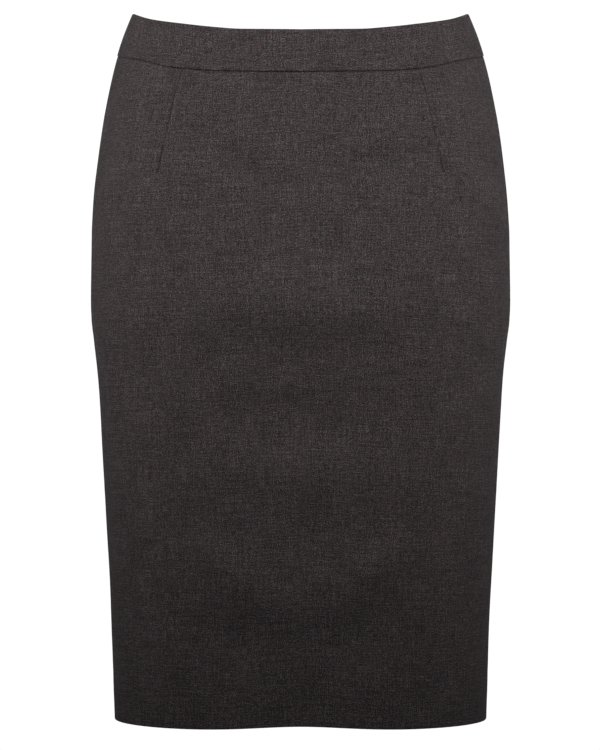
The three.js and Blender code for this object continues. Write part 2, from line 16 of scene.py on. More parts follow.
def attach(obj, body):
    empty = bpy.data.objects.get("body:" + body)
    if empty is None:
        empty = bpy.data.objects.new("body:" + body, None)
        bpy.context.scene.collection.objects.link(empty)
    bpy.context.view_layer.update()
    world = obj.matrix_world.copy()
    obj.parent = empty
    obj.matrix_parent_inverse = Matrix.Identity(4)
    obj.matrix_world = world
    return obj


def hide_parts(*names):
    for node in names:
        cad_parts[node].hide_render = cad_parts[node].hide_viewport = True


bl_info = {
    "name": "Pencil Skirt",
    "version": (1, 0, 0),
    "blender": (4, 5, 0),
    "location": "View3D > Sidebar > Skirt",
    "description": "Builds a pencil skirt in wool suiting, its zip and stitching, and a plain studio",
    "category": "Add Mesh",
}

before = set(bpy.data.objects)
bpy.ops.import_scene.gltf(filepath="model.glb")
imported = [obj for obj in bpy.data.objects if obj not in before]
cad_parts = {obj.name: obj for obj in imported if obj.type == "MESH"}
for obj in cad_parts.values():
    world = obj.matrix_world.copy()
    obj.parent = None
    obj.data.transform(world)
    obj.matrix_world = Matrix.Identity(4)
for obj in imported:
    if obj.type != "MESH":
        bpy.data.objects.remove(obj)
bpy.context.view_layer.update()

MM = 0.001
QUARTER = math.pi / 2
BACK = 3 * QUARTER

# Heights at the side seams
BAND_TOP = 18.1
WAIST_SEAM = -18.1
HEM = -587.6
HEM_LIFT, HEM_LIFT_SPAN = 4.0, 62.0
HEM_DEPTH = 36.0
VENT_TOP = HEM + 170.0
UNDERLAP = 40.0

# Level sections of the cloth's outer surface: up, half width, front, back, fullness
SECTIONS = [
    (18.1, 143.8, 93.0, 94.0, 0.014),
    (8.2, 147.8, 94.6, 97.2, 0.014),
    (-5.0, 152.8, 96.6, 100.6, 0.015),
    (-18.1, 157.1, 98.4, 104.2, 0.016),
    (-38.3, 162.4, 101.2, 109.8, 0.018),
    (-72.8, 169.3, 105.4, 119.2, 0.02),
    (-107.2, 174.2, 108.6, 126.4, 0.02),
    (-141.7, 178.0, 110.6, 131.0, 0.02),
    (-176.1, 179.8, 111.6, 133.0, 0.02),
    (-227.8, 180.2, 111.8, 132.8, 0.02),
    (-245.0, 179.6, 111.4, 131.8, 0.02),
    (-262.2, 177.6, 110.6, 130.4, 0.019),
    (-296.6, 173.9, 108.8, 126.8, 0.017),
    (-348.3, 170.9, 107.2, 121.0, 0.015),
    (-417.2, 167.2, 106.0, 114.0, 0.013),
    (-486.1, 163.3, 105.4, 109.0, 0.012),
    (-555.0, 160.8, 105.0, 106.4, 0.012),
    (-588.0, 159.6, 105.0, 105.6, 0.012),
]

# Dip of the band's top and of the waist seam below their height at the side seam, by degrees from it
FRONT_DIP = [
    (0, 0, 0),
    (9, 1.2, 1.2),
    (18, 4.0, 3.8),
    (35, 10.9, 9.4),
    (50, 16.1, 17.1),
    (63, 20.4, 21.0),
    (72, 22.6, 22.2),
    (90, 23.6, 23.2),
]
BACK_DIP = [(0, 0, 0), (9, 0.2, 0.2), (35, 2.0, 2.0), (90, 6.0, 6.0)]

# Soft folds: across, up, half spans across and up, lean in degrees, rise out of the cloth
FRONT_FOLDS = [
    (0, -226, 92, 40, 0, 4.2),
    (0, -318, 78, 32, 0, -3.2),
    (0, -372, 84, 22, 0, 2.2),
    (0, -424, 56, 24, 0, -2.2),
    (-58, -462, 46, 20, -30, 2.2),
    (58, -462, 46, 20, 30, 2.2),
    (-52, -520, 34, 26, -25, -2.6),
    (52, -520, 34, 26, 25, -2.6),
    (0, -572, 34, 34, 0, -2.0),
    (-62, -112, 34, 14, -35, -1.2),
    (62, -112, 34, 14, 35, -1.2),
]
BACK_FOLDS = [
    (-66, -205, 62, 52, 0, 3.0),
    (66, -205, 62, 52, 0, 3.0),
    (-48, -308, 66, 24, 14, -2.4),
    (52, -314, 66, 24, -16, -2.6),
    (-70, -392, 52, 30, -20, 1.8),
    (66, -404, 52, 30, 22, 1.8),
]

# Smaller folds and creases that only the cloth's finished surface shows, in the same columns
FRONT_CREASES = [
    (0, -138, 56, 52, 0, -2.6),
    (0, -190, 90, 24, 0, -1.0),
    (0, -243, 78, 20, 0, 2.3),
    (-51, -237, 34, 16, 2, 1.1),
    (50, -236, 34, 16, -2, 1.2),
    (0, -300, 60, 15, 0, 1.9),
    (0, -345, 60, 24, 0, -1.8),
    (-110, -320, 36, 38, 4, 2.7),
    (111, -323, 36, 38, -4, 2.5),
    (-67, -448, 33, 15, -40, 2.9),
    (66, -449, 33, 15, 40, 2.8),
    (-50, -516, 32, 22, -25, -1.6),
    (51, -515, 32, 22, 25, -1.7),
    (-29, -504, 24, 17, -20, -1.1),
    (28, -505, 24, 17, 20, -1.0),
    (0, -578, 30, 34, 0, -2.0),
    (-64, -96, 30, 14, -35, 1.0),
    (64, -95, 30, 14, 35, 1.0),
    (-59, -121, 30, 15, -35, -1.5),
    (60, -122, 30, 15, 35, -1.5),
    (76, -286, 34, 3.2, 12, 0.8),
    (80, -292, 30, 3.0, 12, -0.5),
]
BACK_CREASES = [
    (-40, -318, 38, 5.0, 10, -0.9),
    (38, -326, 36, 5.0, -9, -1.0),
    (-30, -332, 30, 4.5, 8, 0.6),
    (44, -341, 34, 4.5, -11, 0.6),
    (-62, -462, 42, 18, -26, 1.2),
    (58, -470, 40, 18, 28, 1.1),
    (-54, -508, 34, 22, -24, -1.3),
    (56, -514, 34, 22, 24, -1.2),
    (-104, -310, 34, 34, 6, 1.4),
    (108, -322, 34, 36, -5, 1.3),
]

# Darts: distance out from the middle at the waist seam and at the tip, the tip's height, the cloth
# taken up at the seam
FRONT_DART = {"top": 101.1, "end": 119.8, "tip": -127.0, "take_up": 20.0}
BACK_DART = {"top": 80.0, "end": 77.0, "tip": -142.0, "take_up": 26.0}

ZIP_TOP = 10.6
ZIP_LENGTH = 190.0
SLIDER_UP = 3.1


# Curves and surfaces


class SmoothTable:
    """Columns of a table, read between its rows on a curve that doesn't overshoot them."""

    def __init__(self, rows):
        data = np.array(sorted(rows), float)
        self.keys, self.values = data[:, 0], data[:, 1:]
        slope = np.diff(self.values, axis=0) / np.diff(self.keys)[:, None]
        both = slope[:-1] * slope[1:]
        total = np.where(both > 0, slope[:-1] + slope[1:], 1.0)
        inner = np.where(both > 0, 2 * both / total, 0.0)
        self.tangents = np.vstack([slope[:1], inner, slope[-1:]])

    def read(self, at, column):
        at = np.asarray(at, float)
        i = np.clip(np.searchsorted(self.keys, at) - 1, 0, len(self.keys) - 2)
        run = self.keys[i + 1] - self.keys[i]
        s = (at - self.keys[i]) / run
        t = np.clip(s, 0, 1)
        first, last = self.values[i, column], self.values[i + 1, column]
        leave, arrive = self.tangents[i, column], self.tangents[i + 1, column]
        value = (2 * t**3 - 3 * t**2 + 1) * first + (3 * t**2 - 2 * t**3) * last
        value += ((t**3 - 2 * t**2 + t) * leave + (t**3 - t**2) * arrive) * run
        return value + np.minimum(s, 0) * run * leave + np.maximum(s - 1, 0) * run * arrive


SECTION = SmoothTable(SECTIONS)
FRONT_DROP = SmoothTable(FRONT_DIP)
BACK_DROP = SmoothTable(BACK_DIP)


def smooth_step(share):
    s = np.clip(share, 0, 1)
    return s * s * (3 - 2 * s)


def spread(first, last, steps):
    """Places in equal steps after first, up to last."""
    return [first + (last - first) * (n + 1) / steps for n in range(steps)]


def oval(turn, up):
    """A point of the level oval at each height; turn runs from the +X side seam by way of the front."""
    half, front, back, fullness = (SECTION.read(up, column) for column in range(4))
    across = half * (np.cos(turn) - fullness * np.cos(3 * turn)) / (1 - fullness)
    share = (np.sin(turn) + fullness * np.sin(3 * turn)) / (1 - fullness)
    depth = -np.where(share > 0, front, back) * share
    return np.stack([across, depth, np.broadcast_to(up, across.shape)], -1)


def unit(vectors):
    return vectors / np.maximum(np.linalg.norm(vectors, axis=-1, keepdims=True), 1e-12)


def outward(turn, up):
    """The way out of the cloth."""
    round_it = oval(turn + 0.002, up) - oval(turn - 0.002, up)
    rising = oval(turn, up + 0.5) - oval(turn, up - 0.5)
    return unit(np.cross(rising, round_it))


def mm_per_turn(turn, up):
    """Distance round the cloth for one radian."""
    step = oval(turn + 0.002, up) - oval(turn - 0.002, up)
    return np.linalg.norm(step, axis=-1) / 0.004


def fold_rise(across, up, folds):
    rise = np.zeros(np.broadcast(across, up).shape)
    for middle, height, span, span_up, lean, amount in folds:
        c, s = math.cos(math.radians(lean)), math.sin(math.radians(lean))
        dx, dz = across - middle, up - height
        along, over = (dx * c + dz * s) / span, (dz * c - dx * s) / span_up
        rise += amount * np.exp(-(along**2) - over**2)
    return rise


def cloth_rise(turn, up):
    """How far the folds lift the cloth out of its oval."""
    across = oval(turn, up)[..., 0]
    front = fold_rise(across, up, FRONT_FOLDS + FRONT_CREASES)
    back = fold_rise(across, up, BACK_FOLDS + BACK_CREASES)
    rise = np.where(np.sin(turn) > 0, front, back) * np.abs(np.sin(turn))
    # Slight unevenness of pressed cloth, on waves that never line up
    wander = np.sin(across / 23.7 + up / 61.0 + 0.7) * np.sin(up / 29.3 - across / 88.0 + 1.9)
    wander += 0.7 * np.sin(across / 14.9 - up / 37.0 + 2.6) * np.sin(up / 17.1 + across / 53.0)
    below_band = smooth_step((WAIST_SEAM - up) / 30)
    return rise + 0.16 * wander * below_band


def cloth_point(turn, up, inward):
    """A point the given distance in from the cloth's outer surface."""
    rise = cloth_rise(turn, up)
    return oval(turn, up) + outward(turn, up) * (rise - inward)[..., None]


def degrees_from_side(turn):
    wrapped = np.mod(turn, math.pi)
    return np.degrees(np.minimum(wrapped, math.pi - wrapped))


def dip(turn, column):
    at = degrees_from_side(turn)
    return np.where(np.sin(turn) >= 0, FRONT_DROP.read(at, column), BACK_DROP.read(at, column))


def band_top(turn):
    return BAND_TOP - dip(turn, 0)


def waist_seam(turn):
    return WAIST_SEAM - dip(turn, 1)


def hem(turn):
    across = oval(turn, np.full(np.shape(turn), HEM))[..., 0] / HEM_LIFT_SPAN
    return HEM + np.where(np.sin(turn) > 0, HEM_LIFT * np.exp(-(across**2)), 0.0)


def turn_at_across(across, up):
    """The turn from the side seam, up to a quarter, at which the oval is so far out from the middle."""
    low, high = np.zeros(np.shape(up)), np.full(np.shape(up), QUARTER)
    for _ in range(30):
        middle = (low + high) / 2
        is_short = oval(middle, up)[..., 0] > across
        low, high = np.where(is_short, middle, low), np.where(is_short, high, middle)
    return (low + high) / 2


_turns = {}


def dart_turn(dart, up):
    """The turn of a dart's line from the side seam, read from a table worked out once."""
    if id(dart) not in _turns:
        seam = float(waist_seam(np.array(QUARTER if dart is FRONT_DART else BACK)))
        heights = np.linspace(dart["tip"], 25, 90)
        share = np.clip((heights - dart["tip"]) / (seam - dart["tip"]), 0, 1.08)
        # Close to the seam the line bends in a little
        across = dart["end"] + (dart["top"] - dart["end"]) * (share + 0.09 * share**12)
        _turns[id(dart)] = heights, turn_at_across(across, heights)
    heights, turns = _turns[id(dart)]
    return np.interp(up, heights, turns)


# Meshes


def grid_normals(points):
    """Unit normals of a grid of points, from its neighbours on both sides."""
    down = np.gradient(points, axis=0)
    along = np.gradient(points, axis=1)
    return unit(np.cross(down, along))


def new_piece(name, points, faces, material, uv=None):
    """A mesh object from points in millimetres."""
    mesh = bpy.data.meshes.new(name)
    mesh.from_pydata((np.asarray(points) * MM).tolist(), [], faces)
    mesh.materials.append(material)
    if uv is not None:
        layer = mesh.uv_layers.new(name="cloth")
        layer.data.foreach_set("uv", np.asarray(uv, np.float32).ravel())
    mesh.polygons.foreach_set("use_smooth", [True] * len(mesh.polygons))
    mesh.validate()
    mesh.update()
    piece = bpy.data.objects.new(name, mesh)
    bpy.context.collection.objects.link(piece)
    return piece


def signed_volume(points, faces):
    corners = points[faces]
    middle = np.cross(corners[:, 1] - corners[:, 0], corners[:, 2] - corners[:, 0])
    other = np.cross(corners[:, 2] - corners[:, 0], corners[:, 3] - corners[:, 0])
    return float((corners[:, 0] * (middle + other)).sum())


def sheet_shell(middle, normals, thickness, is_cloth=None, uv=None, face_shift=None):
    """A closed sheet on both sides of a grid of points.

    Returns its points, its four-cornered faces and a UV for each corner. is_cloth says which cells
    are there, and face_shift moves the UV of a cell across a dart.
    """
    rows, columns = middle.shape[:2]
    if is_cloth is None:
        is_cloth = np.ones((rows - 1, columns - 1), bool)
    half = normals * thickness / 2
    points = np.concatenate([(middle + half).reshape(-1, 3), (middle - half).reshape(-1, 3)])
    number = np.arange(rows * columns).reshape(rows, columns)
    below = rows * columns
    corner = np.stack([number[:-1, :-1], number[1:, :-1], number[1:, 1:], number[:-1, 1:]], -1)
    cells = corner[is_cloth]
    faces = [cells, cells[:, ::-1] + below]
    shift = np.zeros(is_cloth.shape) if face_shift is None else face_shift
    shifts = [shift[is_cloth], shift[is_cloth]]
    padded = np.pad(is_cloth, 1)
    beside = [padded[1:-1, :-2], padded[2:, 1:-1], padded[1:-1, 2:], padded[:-2, 1:-1]]
    for n in range(4):
        is_edge = is_cloth & ~beside[n]
        start, end = corner[is_edge][:, n], corner[is_edge][:, (n + 1) % 4]
        faces.append(np.stack([end, start, start + below, end + below], -1))
        shifts.append(shift[is_edge])
    faces = np.concatenate(faces)
    if signed_volume(points, faces) < 0:
        faces = faces[:, ::-1]
    corners = None
    if uv is not None:
        flat = np.concatenate([uv.reshape(-1, 2)] * 2)
        corners = flat[faces]
        corners[..., 0] += np.concatenate(shifts)[:, None]
    used, renumbered = np.unique(faces, return_inverse=True)
    return points[used], renumbered.reshape(faces.shape), corners


def cloth_lengths(middle, zero_column, zero_row, cut_from=0.0):
    """UVs in metres of cloth: across from one column, and up from one row. cut_from is where on the
    cloth the piece is cut."""
    across = np.linalg.norm(np.diff(middle, axis=1), axis=-1)
    across = np.pad(np.cumsum(across, axis=1), ((0, 0), (1, 0)))
    across -= across[:, zero_column][:, None]
    along = np.linalg.norm(np.diff(middle, axis=0), axis=-1)
    along = np.pad(np.cumsum(along, axis=0), ((1, 0), (0, 0)))
    along = along[zero_row][None, :] - along
    return np.stack([across, along], -1) * MM + cut_from


def tube(path, radii, sides, squash=None, normal=None):
    """Points and faces of a closed tube along a path. squash flattens it along the given normals."""
    path = np.asarray(path, float)
    count = len(path)
    ahead = unit(np.gradient(path, axis=0))
    if normal is None:
        lead = np.array([0.0, 0.0, 1.0]) if abs(ahead[0][2]) < 0.9 else np.array([1.0, 0, 0])
        normal = np.tile(lead, (count, 1))
    side = unit(np.cross(ahead, normal))
    out = np.cross(side, ahead)
    angle = np.arange(sides) * 2 * math.pi / sides
    radii = np.broadcast_to(radii, (count,))
    flat = 1.0 if squash is None else squash
    ring = side[:, None] * np.cos(angle)[None, :, None]
    ring = ring + out[:, None] * np.sin(angle)[None, :, None] * flat
    points = (path[:, None] + ring * radii[:, None, None]).reshape(-1, 3)
    faces = []
    for i in range(count - 1):
        for j in range(sides):
            k = (j + 1) % sides
            faces.append((i * sides + j, i * sides + k, (i + 1) * sides + k, (i + 1) * sides + j))
    faces.append(tuple(range(sides))[::-1])
    faces.append(tuple((count - 1) * sides + j for j in range(sides)))
    return points, faces


def join_parts(parts):
    """One list of points and faces from several."""
    points, faces, base = [], [], 0
    for part_points, part_faces in parts:
        points.append(part_points)
        faces += [tuple(int(i) + base for i in face) for face in part_faces]
        base += len(part_points)
    return np.concatenate(points), faces


def face_out(piece):
    """Turns a closed mesh's faces outwards."""
    work = bmesh.new()
    work.from_mesh(piece.data)
    bmesh.ops.recalc_face_normals(work, faces=work.faces)
    work.to_mesh(piece.data)
    work.free()


# Shader maths


class Value:
    """A shader socket that can be used in sums."""

    def __init__(self, shader, socket):
        self.shader, self.socket = shader, socket

    def _with(self, operation, first, second):
        return self.shader.node("Math", {"operation": operation}, {0: first, 1: second})

    def __add__(self, other):
        return self._with("ADD", self, other)

    def __radd__(self, other):
        return self._with("ADD", other, self)

    def __mul__(self, other):
        return self._with("MULTIPLY", self, other)

    def __rmul__(self, other):
        return self._with("MULTIPLY", other, self)


class Shader:
    """The nodes of a material or world, made one at a time and joined as they are made."""

    def __init__(self, owner):
        self.owner = owner
        owner.use_nodes = True
        self.tree = owner.node_tree
        self.tree.nodes.clear()

    def node(self, kind, settings=None, values=None, output=0):
        made = self.tree.nodes.new("ShaderNode" + kind)
        for key, setting in (settings or {}).items():
            setattr(made, key, setting)
        for key, value in (values or {}).items():
            if isinstance(value, Value):
                self.tree.links.new(value.socket, made.inputs[key])
            else:
                made.inputs[key].default_value = value
        return Value(self, made.outputs[output]) if made.outputs else None

    def axis(self, vector, number):
        return self.node("SeparateXYZ", {}, {0: vector}, output=number)

    def wave(self, value, length):
        """A sine between 0 and 1."""
        turn = value * (2 * math.pi / length)
        return self.node("Math", {"operation": "SINE"}, {0: turn}) * 0.5 + 0.5

    def mix(self, factor, first, second, blend="MIX"):
        """Mixes two colours; a plain colour is a tuple of three."""
        first, second = (c if isinstance(c, Value) else (*c, 1.0) for c in (first, second))
        settings = {"data_type": "RGBA", "blend_type": blend}
        return self.node("Mix", settings, {0: factor, 6: first, 7: second}, output=2)

    def scaled(self, vector, scale, offset=(0, 0, 0)):
        return self.node("Mapping", {}, {"Vector": vector, "Scale": scale, "Location": offset})

    def noise(self, vector, detail=2.0, roughness=0.5):
        values = {"Vector": vector, "Scale": 1.0, "Detail": detail, "Roughness": roughness}
        return self.node("TexNoise", {}, values)

    def steep(self, value, low, high, start=0.0, end=1.0):
        """A smooth change from start to end as the value goes from low to high."""
        settings = {"interpolation_type": "SMOOTHSTEP"}
        values = {"Value": value, 1: low, 2: high, 3: start, 4: end}
        return self.node("MapRange", settings, values)

    def bump(self, height, distance, strength=1.0):
        values = {"Height": height, "Distance": distance, "Strength": strength}
        return self.node("Bump", {}, values)

    def finish(self, **inputs):
        surface = self.node("BsdfPrincipled", {}, {k.replace("_", " "): v for k, v in inputs.items()})
        self.node("OutputMaterial", {}, {"Surface": surface})
        return self.owner


def wool_material(name, cloth):
    """Worsted suiting: crossed yarns in brown and blue-grey, uneven in thickness, with a few neps."""
    s = Shader(bpy.data.materials.new(name))
    uv = s.node("UVMap", {"uv_map": "cloth"})
    warp = s.noise(s.scaled(uv, (1050, 150, 1)), 2.0, 0.6)
    weft = s.noise(s.scaled(uv, (150, 1050, 1), (3.1, 7.7, 0)), 2.0, 0.6)
    slub_across = s.noise(s.scaled(uv, (26, 900, 1), (8.0, 2.2, 0)), 1.0, 0.5)
    slub_down = s.noise(s.scaled(uv, (900, 30, 1), (5.4, 6.1, 0)), 1.0, 0.5)
    fleck = s.noise(s.scaled(uv, (1180, 1080, 1), (11.0, 5.0, 0)), 1.0, 0.6)
    hue = s.noise(s.scaled(uv, (700, 760, 1), (40.0, 21.0, 3.0)), 1.0, 0.6)
    cloud = s.noise(s.scaled(uv, (42, 30, 1), (4.0, 9.0, 0)), 3.0, 0.55)
    nep = s.node("TexVoronoi", {}, {"Vector": s.scaled(uv, (95, 95, 1)), "Scale": 1.0})
    nep = s.steep(nep, 0.035, 0.075, 1.0, 0.0)
    twill = s.wave(s.axis(uv, 0) + s.axis(uv, 1) + (warp + weft) * 0.0004, 0.00095)
    yarns = warp * 0.17 + weft * 0.16 + slub_across * 0.1 + slub_down * 0.09 + fleck * 0.48
    light = s.steep(yarns, 0.435, 0.665)
    tone = s.mix(s.steep(hue, 0.42, 0.58), cloth.brown_yarn, cloth.blue_yarn)
    light_or_dark = s.mix(light, (0.36, 0.34, 0.34), (3.05, 3.10, 3.12))
    colour = s.mix(1.0, tone, light_or_dark, "MULTIPLY")
    shade = s.steep(cloud, 0.3, 0.7, 0.93, 1.07) * (0.88 + twill * 0.24)
    grey = s.node("CombineXYZ", {}, {0: shade, 1: shade, 2: shade})
    colour = s.mix(1.0, colour, grey, "MULTIPLY")
    colour = s.mix(nep * 0.35, colour, cloth.nep_colour)
    height = warp * 0.3 + weft * 0.3 + fleck * 0.3 + slub_across * 0.2 + twill * 0.3 + nep * 0.3
    return s.finish(
        Base_Color=colour,
        Roughness=0.86 + fleck * 0.1,
        Normal=s.bump(height, 0.00022, 0.55),
        Sheen_Weight=cloth.sheen,
        Sheen_Roughness=0.42,
        Sheen_Tint=(0.80, 0.76, 0.80, 1.0),
        Specular_IOR_Level=0.22,
    )


def thread_material(name, colour, ply_length=0.0007):
    """Sewing thread: a twisted ply in one colour, with a painted highlight on its crowns and painted
    shade between them.
    """
    s = Shader(bpy.data.materials.new(name))
    place = s.node("TexCoord", {}, {}, output=3)
    twist = s.noise(s.scaled(place, (1 / ply_length,) * 3), 1.0, 0.5)
    light = s.steep(twist, 0.35, 0.65)
    # Painted highlight and painted shade: the twist noise makes the thread's one colour lighter or
    # darker.
    tone = s.mix(light, tuple(c * 0.75 for c in colour), tuple(c * 1.3 for c in colour))
    return s.finish(
        Base_Color=tone,
        Roughness=0.62 + light * 0.15,
        Normal=s.bump(light, 0.00008, 0.6),
        Sheen_Weight=0.15,
        Specular_IOR_Level=0.3,
    )


def tape_material(name, colour):
    """Zip tape: close warp ribs crossed by a fine weft."""
    s = Shader(bpy.data.materials.new(name))
    uv = s.node("UVMap", {"uv_map": "cloth"})
    rib, pick = s.wave(s.axis(uv, 0), 0.0009), s.wave(s.axis(uv, 1), 0.0007)
    fuzz = s.noise(s.scaled(uv, (900, 900, 1)), 2.0)
    light = rib * 0.5 + pick * 0.2 + fuzz * 0.3
    tone = s.mix(light, tuple(c * 0.6 for c in colour), tuple(c * 1.4 for c in colour))
    return s.finish(
        Base_Color=tone,
        Roughness=0.7 + fuzz * 0.15,
        Normal=s.bump(light, 0.00015, 0.6),
        Sheen_Weight=0.2,
        Specular_IOR_Level=0.3,
    )


def nylon_material(name, colour):
    """Nylon coil: smooth, a little translucent-looking, scuffed where the slider runs."""
    s = Shader(bpy.data.materials.new(name))
    place = s.node("TexCoord", {}, {}, output=3)
    scuff = s.noise(s.scaled(place, (2200, 2200, 500)), 3.0, 0.6)
    worn = s.steep(scuff, 0.45, 0.7)
    tone = s.mix(worn, colour, tuple(c * 1.7 + 0.005 for c in colour))
    return s.finish(
        Base_Color=tone,
        Roughness=0.34 + worn * 0.25,
        Normal=s.bump(scuff, 0.00004, 0.4),
        Specular_IOR_Level=0.45,
    )


def enamel_material(name, colour):
    """Satin enamel over cast metal, worn a little to the metal here and there."""
    s = Shader(bpy.data.materials.new(name))
    place = s.node("TexCoord", {}, {}, output=3)
    peel = s.noise(s.scaled(place, (1400, 1400, 1400)), 2.0, 0.5)
    wear = s.noise(s.scaled(place, (420, 420, 300), (2.0, 1.0, 4.0)), 4.0, 0.65)
    worn = s.steep(wear, 0.60, 0.72, 0.0, 0.55)
    tone = s.mix(worn, colour, (0.12, 0.115, 0.115))
    return s.finish(
        Base_Color=tone,
        Roughness=0.32 + peel * 0.12 + worn * 0.15,
        Metallic=0.15 + worn * 0.6,
        Normal=s.bump(peel, 0.00005, 0.35),
        Specular_IOR_Level=0.5,
    )


def floor_material(name, colour):
    """Matt white paint with a faint roller texture."""
    s = Shader(bpy.data.materials.new(name))
    place = s.node("TexCoord", {}, {}, output=3)
    grain = s.noise(s.scaled(place, (60, 60, 60)), 3.0)
    tone = s.mix(grain, tuple(c * 0.97 for c in colour), colour)
    return s.finish(
        Base_Color=tone,
        Roughness=0.85 + grain * 0.1,
        Normal=s.bump(grain, 0.0004, 0.2),
        Specular_IOR_Level=0.2,
    )


_materials = {}


def material(kind):
    """Each finish is made once and shared by its pieces."""
    if kind not in _materials:
        look = bpy.context.scene.skirt_look
        cloth, trim = look.cloth, look.trim
        makers = {
            "suiting": lambda: wool_material("Wool suiting", cloth),
            "thread": lambda: thread_material("Sewing thread", tuple(trim.thread_colour)),
            "overlock": lambda: thread_material("Overlock thread", tuple(trim.overlock_colour)),
            "tape": lambda: tape_material("Zip tape", tuple(trim.tape_colour)),
            "coil": lambda: nylon_material("Nylon coil", tuple(trim.coil_colour)),
            "enamel": lambda: enamel_material("Satin enamel", tuple(trim.enamel_colour)),
        }
        _materials[kind] = makers[kind]()
    return _materials[kind]


def settle(piece, nodes=(), body="skirt"):
    """Puts a finished piece on its body, in place of its solids."""
    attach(piece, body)
    if nodes:
        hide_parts(*nodes)
    return piece


# The skirt's panels

PLY = 0.8  # thickness of the cloth
TURN = 0.425  # radius of a turned edge, at the middle of the cloth
LAYER = 2 * TURN  # from the middle of one layer to the middle of the next
ALLOWANCE = 13.0


def half_circle(steps):
    """Sine and cosine along a turned edge, from the outer layer to the inner one."""
    angles = [math.pi * n / steps for n in range(steps + 1)]
    return [(math.sin(a), math.cos(a)) for a in angles]


class Columns:
    """Where a grid's columns lie: at an offset in millimetres from an anchor, or part of the way from
    there to the next anchor. A tail column is part of an edge turned under."""

    def __init__(self):
        self.first, self.offset, self.last, self.last_offset = [], [], [], []
        self.share, self.inward, self.is_tail = [], [], []

    def add(self, anchor, offset, inward=0.0, tail=False, last=None, last_offset=0.0, share=0.0):
        self.first.append(anchor)
        self.offset.append(offset)
        self.last.append(last or anchor)
        self.last_offset.append(last_offset)
        self.share.append(share)
        self.inward.append(inward)
        self.is_tail.append(tail)

    def fill(self, first, first_offset, last, last_offset, steps):
        for n in range(1, steps):
            self.add(first, first_offset, last=last, last_offset=last_offset, share=n / steps)

    def dart_column(self):
        return next(
            n
            for n, (anchor, offset, share) in enumerate(zip(self.first, self.offset, self.share))
            if anchor == "dart" and offset == 0 and share == 0
        )

    def turns(self, dart, up):
        """The turn from the side seam of every column, at heights laid out as rows by columns."""
        side = -1 if dart is BACK_DART else 1
        anchors = {
            "side": np.zeros(up.shape),
            "dart": dart_turn(dart, up),
            "middle": np.full(up.shape, QUARTER),
        }
        speeds = {name: mm_per_turn(side * turn, up) for name, turn in anchors.items()}
        turns = np.empty(up.shape)
        for c, share in enumerate(self.share):
            start, end = self.first[c], self.last[c]
            near = anchors[start][:, c] + self.offset[c] / speeds[start][:, c]
            far = anchors[end][:, c] + self.last_offset[c] / speeds[end][:, c]
            turns[:, c] = near + (far - near) * share
        return turns


SEAM_OPEN = -0.02  # half of the opening between two turned edges, which just press together
BESIDE_EDGE = (1.4, 2.0, 3.0)


def turned_edge(allowance):
    """Distances from the seam and depths of an edge turned under, from its raw edge to the surface."""
    places = [(SEAM_OPEN + allowance * share, LAYER, True) for share in (1, 0.7, 0.4)]
    places.append((2.2, LAYER, True))
    for sine, cosine in half_circle(6)[::-1]:
        places.append((SEAM_OPEN + PLY / 2 + TURN * (1 - sine), TURN * (1 - cosine), False))
    return places + [(distance, 0.0, False) for distance in BESIDE_EDGE]


def flat_edge(width):
    """The same number of places, but running on flat past the seam by the given width."""
    beyond = [-width, -width * 0.8, -width * 0.58, -width * 0.36]
    across = spread(-width * 0.2, SEAM_OPEN + PLY / 2 + TURN, 7)
    places = [(distance, 0.0, True) for distance in beyond]
    return places + [(distance, 0.0, False) for distance in across + list(BESIDE_EDGE)]


DART_OFFSETS = (-3.4, -2.3, -1.6, -1.1, -0.7, -0.35, 0.0, 0.35, 0.7, 1.1, 1.6, 2.3, 3.4)


def half_columns(side_steps, middle_steps, middle_edge=None):
    """From a side seam to the middle: the side's turned edge, the dart, and the middle or its edge."""
    columns = Columns()
    for distance, inward, tail in turned_edge(ALLOWANCE):
        columns.add("side", distance, inward, tail)
    columns.fill("side", BESIDE_EDGE[-1], "dart", DART_OFFSETS[0], side_steps)
    for offset in DART_OFFSETS:
        columns.add("dart", offset)
    last = -BESIDE_EDGE[-1] if middle_edge else 0.0
    columns.fill("dart", DART_OFFSETS[-1], "middle", last, middle_steps)
    if middle_edge:
        for distance, inward, tail in middle_edge[::-1]:
            columns.add("middle", -distance, inward, tail)
    else:
        columns.add("middle", 0.0)
    return columns


def panel_rows(body_steps):
    """Rows from the waist seam to the top of the turned-up hem: share of the way down from the seam
    to the hem, offset in millimetres, how far in, and whether it is on the turned-up side."""
    rows = [(0, 0.3, 1.25, 0), (0, 0.0, 0.95, 0), (0, -0.5, 0.56, 0), (0, -1.0, 0.32, 0)]
    rows += [(0, -1.6, 0.15, 0), (0, -2.4, 0.05, 0), (0, -3.5, 0, 0)]
    for n in range(1, body_steps):
        share = n / body_steps
        rows.append((share, -3.5 * (1 - share) + 2.6 * share, 0, 0))
    rows += [(1, 2.6, 0, 0), (1, 1.6, 0, 0)]
    for sine, cosine in half_circle(6):
        rows.append((1, PLY / 2 + TURN * (1 - sine), TURN * (1 - cosine), 0))
    rows += [(1, height, LAYER, 1) for height in (2.5, 6, 12, 18, 24, 30, HEM_DEPTH)]
    return np.array(rows, float)


FIRST_FOLD_ROW = -14  # the row where the hem's fold starts, counted from the last


def panel_heights(rows, angle):
    top, bottom = waist_seam(angle), hem(angle)
    share, offset = rows[:, 0][:, None], rows[:, 1][:, None]
    return top * (1 - share) + bottom * share + offset


